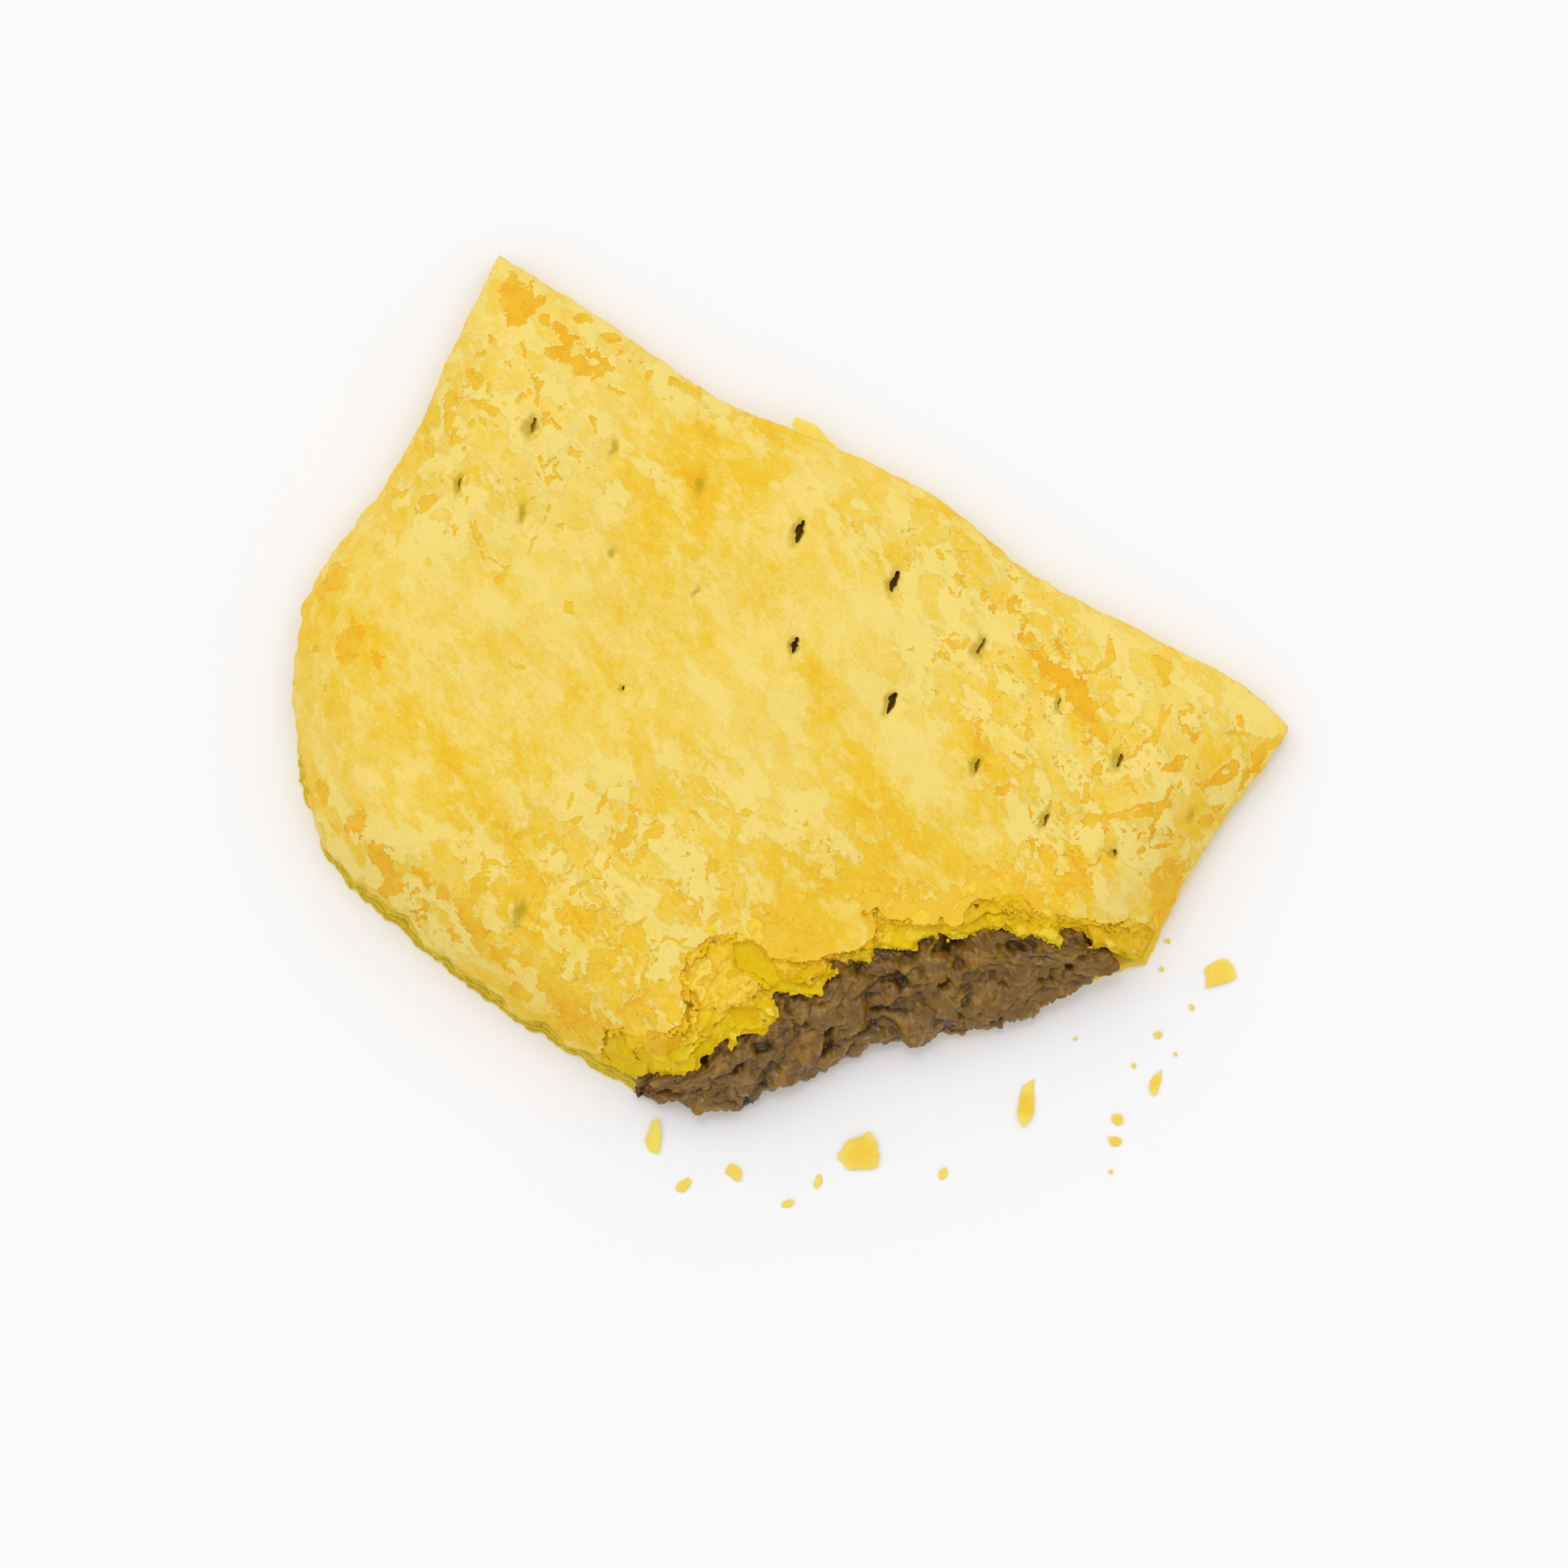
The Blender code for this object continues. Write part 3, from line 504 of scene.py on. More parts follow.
@dataclass
class Body:
    """Vertices in millimetres and faces of three or four, with named values on either."""

    places: Array
    faces: list
    on_points: dict = field(default_factory=dict)
    on_faces: dict = field(default_factory=dict)

    @classmethod
    def joined(cls, bodies: list[Body]) -> Body:
        """All bodies as one, with their values one after the other."""
        start = np.cumsum([0] + [len(body.places) for body in bodies])
        faces = [run + first for body, first in zip(bodies, start) for run in body.faces]
        on_points = {k: np.concatenate([b.on_points[k] for b in bodies]) for k in bodies[0].on_points}
        on_faces = {k: np.concatenate([b.on_faces[k] for b in bodies]) for k in bodies[0].on_faces}
        return cls(np.vstack([body.places for body in bodies]), faces, on_points, on_faces)

    @classmethod
    def slab(cls, plan: Array, high: Array, low: Array, faces: Array, rim: Array, values: dict) -> Body:
        """A closed body over a plan, from a low height up to a high one.

        Args:
            plan: the places on the plan.
            high: the upper side's height at each place.
            low: the lower side's.
            faces: triangles that face up.
            rim: their outer edges, directed with the triangles on the left.
            values: named values, given for each place above and then for each below.

        Returns:
            The body: the upper side, the lower one and walls between their rims.
        """
        count = len(plan)
        places = np.vstack([np.column_stack([plan, high]), np.column_stack([plan, low])])
        walls = np.stack([rim[:, 1], rim[:, 0], rim[:, 0] + count, rim[:, 1] + count], axis=1)
        return cls(places, [faces, faces[:, ::-1] + count, walls], values)

    def to_object(self, name: str, sharp_deg: float, fill_holes: bool = False) -> bpy.types.Object:
        """A shown object with this body as its mesh, in metres.

        Args:
            name: the object's name.
            sharp_deg: the angle past which an edge is shaded sharp.
            fill_holes: whether each open rim is closed with one face.

        Returns:
            The object, at the origin.
        """
        mesh = bpy.data.meshes.new(name)
        corners = np.concatenate([run.ravel() for run in self.faces])
        sizes = np.concatenate([np.full(len(run), run.shape[1]) for run in self.faces])
        mesh.vertices.add(len(self.places))
        mesh.vertices.foreach_set("co", (self.places * MM).astype(np.float32).ravel())
        mesh.loops.add(len(corners))
        mesh.loops.foreach_set("vertex_index", corners.astype(np.int32))
        mesh.polygons.add(len(sizes))
        starts = np.concatenate([[0], np.cumsum(sizes)[:-1]])
        mesh.polygons.foreach_set("loop_start", starts.astype(np.int32))
        mesh.update(calc_edges=True)
        for domain, values in (("POINT", self.on_points), ("FACE", self.on_faces)):
            for key, numbers in values.items():
                layer = mesh.attributes.new(key, "FLOAT", domain)
                layer.data.foreach_set("value", np.asarray(numbers, np.float32))
        bm = bmesh.new()
        bm.from_mesh(mesh)
        bmesh.ops.remove_doubles(bm, verts=bm.verts, dist=1e-7)
        if fill_holes:
            open_edges = [edge for edge in bm.edges if edge.is_boundary]
            bmesh.ops.holes_fill(bm, edges=open_edges, sides=0)
        bmesh.ops.recalc_face_normals(bm, faces=bm.faces)
        bm.to_mesh(mesh)
        bm.free()
        mesh.shade_smooth()
        mesh.set_sharp_from_angle(angle=math.radians(sharp_deg))
        mesh.validate()
        made = bpy.data.objects.new(name, mesh)
        bpy.context.scene.collection.objects.link(made)
        return made


def ring_faces(rows: int, columns: int) -> Array:
    """Quads between neighbours of a rows x columns grid, stored row by row, whose rows are rings."""
    spot = np.arange(rows * columns).reshape(rows, columns)
    spot = np.hstack([spot, spot[:, :1]])
    quads = np.stack([spot[:-1, :-1], spot[:-1, 1:], spot[1:, 1:], spot[1:, :-1]], axis=-1)
    return quads.reshape(-1, 4)


@dataclass(frozen=True)
class Spot:
    """A soft oval place on the top: its middle, half length, half width, turn and strength."""

    x: float
    y: float
    long: float
    wide: float
    turn: float
    strength: float = 1.0

    def over(self, xy: Array) -> Array:
        """A bell that falls off from the middle: strength * exp(-(a/long)^2 - (b/wide)^2)."""
        a, b = plan_axes(xy, self.x, self.y, self.turn)
        return self.strength * np.exp(-((a / self.long) ** 2) - (b / self.wide) ** 2)


def heaped(spots: tuple[Spot, ...], xy: Array) -> Array:
    """All spots over each place, laid on each other so that none passes 1."""
    bare = np.ones(len(xy))
    for spot in spots:
        bare = bare * (1.0 - np.clip(spot.over(xy), 0.0, 1.0))
    return 1.0 - bare


# Where the skin is gone and the layer under it shows, with ragged edges.
BARE = tuple(Spot(*row) for row in (
    (-53, -36.5, 2, 0.9, -50), (-46, -37.5, 1, 2.2, -10, 0.8), (-39, -41, 3.6, 1.1, -30),
    (-36, -44, 1.8, 1.6, 0, 0.8), (-29, -40, 4.4, 0.9, -5), (-24, -38, 1, 4.4, 10, 0.9),
    (-21, -43, 2.4, 1, -45), (-6, -45, 3, 1.4, -30, 0.9), (-1, -36.5, 1.6, 1.4, 0, 0.7),
    (4, -47, 4.6, 1.6, 0, 0.9), (-18.6, -17.3, 0.4, 1.8, 0), (-14.1, -16, 0.4, 2.2, 0),
    (-8.8, -16.6, 0.6, 2.4, 8), (-8.6, -19.4, 0.8, 1, 0), (-5.1, -15.5, 1, 1.6, 0), (-5, -19, 0.4, 2, 0),
    (-16.1, -19.8, 0.5, 1.1, -15), (1.4, -21, 1, 0.8, 30), (3.3, -22.2, 0.6, 0.9, -20),
    (5.5, -15.2, 0.8, 1.2, 20), (7, -22.4, 0.45, 1.8, 8), (9.8, -22.2, 0.6, 1.2, 0),
    (-8.4, -23.6, 0.45, 1.2, 10), (0.2, -29.8, 0.38, 2.1, -12), (7.3, -27.8, 0.3, 1.2, -35),
    (2.5, -33.8, 0.3, 0.9, 0), (5.5, -35.8, 0.5, 1.4, 25), (-1.6, -38.6, 1.1, 1.4, 10),
    (-7.2, -39.4, 0.7, 0.6, 0), (-7, -41.2, 0.7, 0.5, 0), (-4.2, -40.2, 0.45, 1.8, 40),
    (5.7, -41, 0.5, 1.5, -30), (0, -44.1, 0.9, 0.7, 0), (-23, -41.4, 2.2, 0.5, -10),
    (-20, -43, 0.8, 2.2, 40), (-14, -43.1, 3.4, 0.5, 8), (-12.3, -42.2, 0.6, 1.3, 0),
    (-13.2, -45.6, 1, 0.6, 0), (-5.5, -44.6, 2.4, 1, -35), (-2.2, -46.2, 2, 1.2, -20, 0.9),
    (-24, -45.3, 1.1, 0.9, 0), (-16.6, -44.5, 0.8, 0.4, 0), (9.5, -29.5, 0.9, 0.5, 30),
    (-10, -47.6, 2, 0.8, 0, 0.9), (10.5, -46, 1.6, 1, 0, 0.8), (-66.3, 45.1, 3.8, 3, -59),
    (-56.4, 47.9, 1.3, 0.8, 11), (-51, 47.6, 2, 0.6, 1), (-56.5, 41.2, 2.3, 0.9, 16),
    (-51.6, 41.4, 2.8, 1.4, 6), (-45.4, 40.6, 2, 0.5, 1), (-67.5, 35.1, 0.6, 0.5, 31),
    (-65.5, 31, 1.6, 1, -29, 0.9), (-61.4, 28.1, 2.3, 0.7, 6), (-67.6, 27.3, 1.6, 1.2, -59),
    (-65.8, 23.4, 1.6, 0.7, -59), (-63.4, 21.4, 1.1, 0.7, 31), (-65.8, 17.9, 1.3, 0.7, -59, 0.8),
    (-62.3, 10.4, 2.1, 1.2, 51), (-66.7, 9.7, 1.2, 0.7, 31, 0.8), (-68.2, -7.9, 3.1, 1.6, 76, 0.85),
    (-61.3, -13.9, 3.6, 2.8, -79, 0.9), (-55.7, -14.4, 1.6, 1.3, -59, 0.8), (-65, -18, 0.8, 0.5, -59),
    (-60.8, -22.2, 0.7, 0.4, -59), (-45.5, 34.3, 1.2, 0.4, -49), (-46.2, 6.6, 1.5, 0.6, -79),
    (-34.5, 7.8, 1.2, 0.6, -59), (-37.1, -3.8, 1.8, 0.4, -4, 0.8), (-42.8, 45.9, 1.2, 0.7, -89),
    (-36, 47.3, 2.3, 0.7, 6, 0.9), (-47.8, 46.3, 0.7, 0.4, 31), (-66.8, 37.9, 1, 0.3, -49),
    (-56.8, 35.7, 1, 0.7, -59, 0.9), (-51.2, 34.2, 1.2, 0.4, 81, 0.8), (-52.8, 31.4, 1, 0.7, -59),
    (-50.6, 31.7, 1, 0.4, -9, 0.8), (-52.4, 10.6, 2, 0.4, -49, 0.8), (-42.4, 17.9, 1, 1, 31, 0.5),
    (29.9, 40.5, 1.1, 0.7, 31), (32.7, 39, 2.1, 0.9, -19), (36.3, 38.4, 1, 1, 31),
    (39.3, 37.6, 2.1, 1.1, -19), (42.9, 35.8, 2.1, 1, -24), (46.2, 33.8, 1.6, 0.7, -29),
    (41.2, 46.1, 1.6, 0.6, -59), (41.7, 42.8, 1.2, 0.5, 71), (40, 40.2, 1.8, 0.2, 23),
    (50.9, 47.1, 2.1, 1.1, -54), (48.8, 48.3, 0.8, 0.7, -59), (53.4, 41, 1.5, 0.3, -69),
    (54.5, 37.8, 1.2, 0.3, -69), (57.3, 44, 1.2, 0.3, -44), (58.1, 41.1, 0.6, 0.6, 31),
    (59.9, 41, 0.8, 0.4, -79), (65, 46.9, 1, 0.4, -39), (66.7, 45.1, 0.8, 0.6, 31),
    (70.7, 42.5, 1, 0.4, 61), (71.9, 47.2, 1, 0.6, -69), (67.1, 37.6, 2.3, 0.6, 53),
    (59.1, 34.6, 1.3, 0.6, 51), (67.8, 40, 1, 0.4, 81), (71.4, 41.3, 0.7, 0.4, 61),
    (30.5, 23.5, 2.8, 0.9, -67, 0.75), (38, 18.2, 1.6, 1.2, -29, 0.8), (33.9, 20.3, 1.2, 0.6, -59, 0.6),
    (57.6, 25.1, 2.8, 0.5, 43), (54.6, 22.3, 1, 0.6, -59), (61.2, 28.2, 1.3, 0.4, 71),
    (68.2, 30.6, 1.4, 0.9, 61), (68.9, 33, 0.7, 0.5, 31), (61.8, 33.3, 0.7, 0.4, 61),
    (48.2, 13, 1.3, 0.5, -59), (52.6, 21.4, 1.2, 0.4, -59), (67.5, 20.5, 2, 1.1, -49),
    (54.9, 12, 2.5, 1.5, 21, 0.8), (65.7, 18.6, 1.3, 0.8, -59, 0.9), (24.8, 44, 1.2, 0.3, -74),
    (27.8, 42.4, 0.6, 0.6, 31), (34.4, 38.3, 0.7, 0.6, -59, 0.8), (22.7, 44.2, 0.7, 0.4, -59, 0.8),
    (37.4, 35.7, 1.3, 0.5, -79, 0.8), (37.4, 27.6, 1.2, 0.7, -59, 0.5), (35, 35.7, 1.3, 0.4, -59, 0.6),
    (51.8, 32.4, 1, 0.4, 81), (11.1, 44.5, 1.3, 0.6, -4, 0.5), (15.3, 43.1, 1.2, 0.7, 1, 0.5),
    (35.3, 44, 1, 0.3, -44, 0.6), (61.5, 20.9, 0.7, 0.4, -59, 0.8), (47.6, 20.2, 1, 0.4, -59, 0.7),
    (43.3, 17.7, 1, 0.3, -59, 0.7), (27.1, 36.8, 0.8, 0.5, 31, 0.5), (69, 18, 1.6, 4.6, 0, 0.8),
    (69.5, 11, 1, 3.4, 0, 0.8), (70.6, 45, 0.8, 3, 0, 0.8), (70, 39.5, 0.7, 2.6, 0, 0.8),
    (-69.5, -7, 1.4, 3.6, 0, 0.6), (-52, 44.3, 7, 0.8, -4, 0.6), (-58.5, 44.4, 3.6, 1, -14, 0.7),
))
# Where that layer is toasted orange rather than golden.
TOASTY = tuple(Spot(*row) for row in (
    (67, 28, 13, 26, 0, 0.9), (38, 38, 14, 5, -18, 0.95), (-60, 44, 16, 7, 0, 0.95),
    (-62, -12, 12, 8, 0, 0.85), (-40, -41, 20, 5, -12, 0.8), (34, 20, 9, 6, 0, 0.85),
    (-3, -46, 14, 3, 0, 0.55), (54, 12, 6, 6, 0, 0.95), (-20, -43, 5, 3, 0, 0.5),
))
# Where the skin is whole but baked to a deeper gold, or to orange past 0.55.
GLOW = tuple(Spot(*row) for row in (
    (-36, 47, 4, 1.2, 0, 0.35), (-32, 43, 6, 1, -10, 0.4), (-26.5, 34.8, 3.4, 3.2, 0),
    (-25, 44, 8, 6, 0, 0.5), (-30, 37, 10, 6, 0, 0.4), (-16, 33, 12, 2.5, -50, 0.35),
    (-27, 24, 5, 8, 0, 0.3), (-12, 27, 9, 3, -30, 0.3), (8, 50.5, 10, 1.5, 0, 0.5),
    (-18, 49, 8, 2, 0, 0.35), (7, 16.5, 7, 2.2, -30, 0.55), (18, 9.5, 6, 2.8, -40, 0.75),
    (25, 7.5, 6, 2.2, -35, 0.8), (24, 2, 5, 2, -50, 0.6), (35, 2, 8, 2.4, -20, 0.6),
    (20, -8, 8, 8, 0, 0.35), (17, -15, 3, 8, -10, 0.35), (23, -14, 4, 4, 0, 0.5),
    (-66, 0, 3.5, 12, 0, 0.35), (-68.5, 18, 1.2, 8, 0, 0.4), (-57, -24, 5, 1.5, -20, 0.35),
    (-35, -23, 9, 1.4, -22, 1.1), (-24, -27, 5, 1.4, -25, 1.1), (-14, -31, 8, 2, -20, 0.8),
    (-50, -18, 12, 2, -15, 0.3), (-14.5, -37.5, 3.2, 1.1, -33, 1.5), (-15, -7, 2, 5, 20, 0.25),
    (-5, -14, 1.5, 2.5, 0, 0.4), (8, -14, 3, 2, 0, 0.3), (-61, 44, 9, 4, -20, 0.15),
    (-62, -10, 8, 9, -20, 0.65), (38, 38, 11, 3, -20, 0.9), (33, 22, 6, 4, -30, 0.7),
    (55, 13, 5, 5, 0, 0.6), (69, 16, 3, 10, 0, 0.7), (67, 34, 3, 8, 0, 0.4), (-40, -42, 14, 3, -15, 0.4),
    (2, -37, 3, 1.6, -10, 0.5), (9.5, -40.5, 3, 1, 0, 0.5), (-1, -36, 3, 1.4, -20, 0.4),
    (-23.5, -35, 1.6, 3, 0, 0.5), (-25, 12, 5, 12, 0, 0.25), (31, 2, 8, 5, -20, 0.4),
    (51, 10, 5, 4, 0, 0.45), (10, -10, 14, 6, 0, 0.3), (-34, -25, 12, 6, -10, 0.3),
    (-2, -47, 14, 5, 0, 0.5), (-4, -36, 14, 6, 0, 0.3), (10, 42, 8, 4, 0, 0.25), (-22, 38, 6, 4, 0, 0.3),
    (-24, -31, 8, 5, 0, 0.35), (3, -48, 12, 5, 0, 0.35), (-33, -17, 8, 6, 0, 0.3),
    (36, 4, 5, 5, 0, 0.35),
    (54, 10, 5, 4, 0, 0.3), (36, -8, 5, 4, 0, 0.3), (0, -50, 10, 3, 0, 0.6), (50, 10, 6, 4, 0, 0.25),
    (36, -8, 5, 4, 0, 0.25), (25, -16, 4, 6, 0, 0.25), (-54, -20, 4, 3, 0, 0.3), (4, -50, 10, 3, 0, 0.4),
    (54, 10, 5, 4, 0, 0.25), (30, 3, 5, 4, 0, 0.2), (-30, 34, 5, 4, 0, 0.2), (3, -49, 10, 3, 0, 0.4),
    (34, 3, 6, 4, 0, 0.25), (54, 10, 5, 4, 0, 0.2), (-30, 36, 5, 4, 0, 0.2), (18, -9, 5, 4, 0, 0.2),
))
# Where the skin is left palest.
PALE_SPOTS = tuple(Spot(*row) for row in (
    (-50, 26, 8, 4, -20, 0.8), (-63, 37, 4, 2, 0, 0.5), (-37, 11, 5, 3, 0, 0.4),
    (-9, 46, 2, 2.5, 0, 0.7),
    (3, 45, 4, 3, 0, 0.6), (12, 43, 6, 3, -20, 0.4), (20, 17, 8, 3, -15, 0.6),
    (10, 30, 14, 6, -10, 0.45),
    (62, 18, 3, 3, 0), (40, 28, 8, 2, 0, 0.4), (-25, -10, 5, 3, 0, 0.3), (-3, -17, 6, 3, 0, 0.35),
    (-22, -35, 4, 2, 0, 0.4), (-36, -15, 1.5, 4, 20, 0.3), (45, 47, 6, 2, -15, 0.35),
    (60, 38, 5, 3, 0, 0.3), (1, -19, 4, 2.5, 0, 0.6), (-12, -20, 3, 2, 0, 0.3), (61, 12, 3, 3, 30, 0.8),
    (-55, 34, 9, 5, 0, 0.35), (9, 22, 5, 3, 0, 0.35), (-34, -2, 7, 3, 0, 0.3), (-42, 13, 6, 5, 0, 0.25),
    (-52, 41, 12, 4, -10, 0.3), (-57, 22, 7, 4, 0, 0.3), (-38, 10, 7, 5, 0, 0.2), (-2, 9, 9, 5, 0, 0.25),
    (61, 25, 5, 6, 0, 0.3), (-57, -31, 6, 4, 0, 0.25), (-32, 46, 12, 3, 0, 0.3), (-60, 46, 5, 3, 0, 0.5),
    (-63, -3, 5, 6, 0, 0.3), (-44, 46, 10, 3, 0, 0.35), (-47, 28, 6, 7, 0, 0.3),
    (-28, 42, 8, 4, 0, 0.25),
    (2, 4, 8, 5, 0, 0.2), (-63, -3, 4, 6, 0, 0.2), (-6, -20, 5, 4, 0, 0.2), (42, 16, 5, 5, 0, 0.15),
    (36, 41, 8, 3, 0, 0.2), (-60, 46, 5, 3, 0, 0.4), (-47, 28, 5, 6, 0, 0.25), (36, 40, 6, 3, 0, 0.3),
    (24, 46, 6, 3, 0, 0.3), (-60, 33, 4, 4, 0, 0.3), (-18, -13, 5, 4, 0, 0.25), (60, 27, 4, 6, 0, 0.25),
    (-62, -3, 4, 5, 0, 0.3),
))
# Where the skin is cracked into plates and partly flaked off.
FLAKED = tuple(Spot(*row) for row in (
    (-4, -30, 31, 14, 8, 0.58), (5.4, -4, 18, 9, 20, 0.3), (60, 30, 17, 24, 0, 0.52),
    (-64, 28, 9, 17, 0, 0.4), (-38, -42.5, 18, 5, -12, 0.5), (14, 46, 16, 6, 0, 0.36),
    (23.2, -4, 9, 8, 0, 0.34), (-40, 46.5, 26, 3.5, 0, 0.42), (45, 24, 10, 14, 0, 0.42),
    (-58, 8, 10, 7, 0, 0.32), (8, -44, 15, 7, 0, 0.52), (30, 44, 14, 7, -20, 0.34),
    (-10, -14, 16, 7, 0, 0.3), (-50, 26, 14, 12, -20, 0.42), (-34, 30, 10, 8, 0, 0.32),
    (20, 30, 14, 10, -20, 0.36), (38, 32, 14, 9, -15, 0.42), (0, 42, 16, 5, 0, 0.3),
))


@dataclass(frozen=True)
class Crack:
    """A long crack in the skin: its route and width in millimetres."""

    route: tuple[tuple[float, float], ...]
    width: float


CRACKS = (
    Crack(((-62.1, 39.8), (-58.0, 35.6), (-56.0, 35.3), (-55.0, 32.2)), 0.5),
    Crack(((-58.2, 17.3), (-56.4, 13.5), (-53.5, 10.5), (-49.6, 7.9), (-46.0, 8.2), (-44.3, 12.3),
           (-44.5, 15.8), (-45.3, 20.1)), 0.5),
    Crack(((40.8, 47.4), (42.8, 45.2), (41.9, 42.2)), 1.2),
    Crack(((41.9, 42.2), (39.7, 39.9), (37.8, 40.8), (34.2, 42.6)), 0.4),
    Crack(((54.2, 43.0), (54.3, 39.7), (54.5, 37.4), (53.6, 34.7), (52.4, 32.4)), 0.9),
    Crack(((56.8, 41.3), (58.9, 40.7), (61.0, 41.0)), 0.4),
    Crack(((63.4, 46.6), (65.0, 44.5), (66.2, 43.0)), 0.5),
    Crack(((60.6, 32.5), (61.0, 29.5), (58.3, 27.3), (56.6, 25.3), (54.5, 23.0), (52.0, 21.0)), 0.8),
    Crack(((46.2, 13.8), (48.0, 11.0), (49.6, 9.3)), 0.6),
    Crack(((47.2, 28.5), (48.9, 25.6), (49.6, 23.6)), 0.4),
    Crack(((67.3, 40.5), (66.0, 37.0), (66.6, 34.0)), 0.9),
    Crack(((65.9, 27.5), (65.6, 24.5), (63.8, 22.8)), 0.6),
    Crack(((-5.5, -32.3), (-3.6, -32.8), (-0.5, -32.1), (2.3, -33.0), (4.1, -32.1), (4.5, -34.4),
           (5.0, -35.7)), 0.35),
    Crack(((-11.1, -29.8), (-10.2, -29.4), (-8.2, -31.9)), 0.25),
    Crack(((-24.3, -32.5), (-21.0, -31.2), (-18.0, -32.0)), 0.4),
    Crack(((4.5, -15.5), (5.5, -17.3), (7.0, -18.0), (10.9, -17.5), (12.4, -19.2)), 0.5),
    Crack(((-11.2, -22.0), (-11.6, -24.3), (-11.0, -25.6)), 0.35),
)


class Vent(Enum):
    """What became of a steam slit in the oven."""

    OPEN = 1.5
    HALF = 0.7
    SHUT = 0.4

    @property
    def slit_shade_strength(self) -> float:
        """How strongly the painted olive shade at this kind of slit is laid on."""
        return {Vent.OPEN: 1.0, Vent.HALF: 0.88, Vent.SHUT: 0.8}[self]


@dataclass(frozen=True)
class Slit:
    """A steam slit: its middle, length, width and state."""

    x: float
    y: float
    length: float
    width: float
    vent: Vent

    def across(self, xy: Array) -> tuple[Array, Array]:
        """Each place along and across the slit, as shares of its half length and half width."""
        a, b = plan_axes(xy, self.x, self.y, SLIT_TURN)
        return a / (self.length / 2), b / (self.width / 2)


SLITS = (
    Slit(-53.8, 29.6, 4.8, 2.0, Vent.HALF), Slit(-40.9, 33.2, 3.8, 1.2, Vent.SHUT),
    Slit(-26.4, 35.1, 3.6, 1.3, Vent.SHUT), Slit(-9.6, 36.6, 4.4, 1.7, Vent.OPEN),
    Slit(7.2, 37.6, 4.6, 1.8, Vent.OPEN), Slit(24.0, 35.7, 5.0, 1.9, Vent.HALF),
    Slit(39.0, 34.3, 3.6, 1.2, Vent.HALF), Slit(51.6, 31.4, 4.0, 1.8, Vent.HALF),
    Slit(66.0, 30.1, 2.8, 1.3, Vent.SHUT), Slit(-58.9, 16.1, 4.6, 1.2, Vent.HALF),
    Slit(-48.0, 17.0, 3.8, 1.1, Vent.SHUT), Slit(-32.8, 19.0, 2.6, 0.9, Vent.SHUT),
    Slit(-18.4, 20.4, 2.4, 0.8, Vent.SHUT), Slit(-1.0, 21.0, 3.4, 1.3, Vent.OPEN),
    Slit(16.5, 20.9, 4.4, 1.6, Vent.OPEN), Slit(32.9, 19.5, 4.2, 1.4, Vent.HALF),
    Slit(46.5, 17.7, 3.8, 1.3, Vent.HALF), Slit(58.3, 18.8, 1.9, 1.4, Vent.HALF),
    Slit(-16.3, -36.9, 6.0, 1.8, Vent.SHUT), Slit(-20.7, 1.8, 1.1, 0.9, Vent.OPEN),
)


# The top sheet's side, ring by ring: its share of the way down and how far in it is, in
# millimetres, first at the patty's edge and then at the bite.
SIDE_PROFILE = (
    (0.11, -0.16, 0.11, 0.0), (0.38, -0.25, 0.14, 2.2), (0.66, -0.1, 0.5, 2.4),
    (0.88, 0.25, 0.9, 2.4), (1.0, 0.8, 1.0, 2.4),
)


# The plan's level for the floors of open slits, clear of the levels that a cut gives.
SLIT_LEVEL = 9


class Layer(Enum):
    """What a face of the top sheet is, for its finish."""

    SKIN = 0.0
    BELOW = 1.0
    SLIT = 2.0
    SIDE = 3.0
    HOLLOW = 4.0


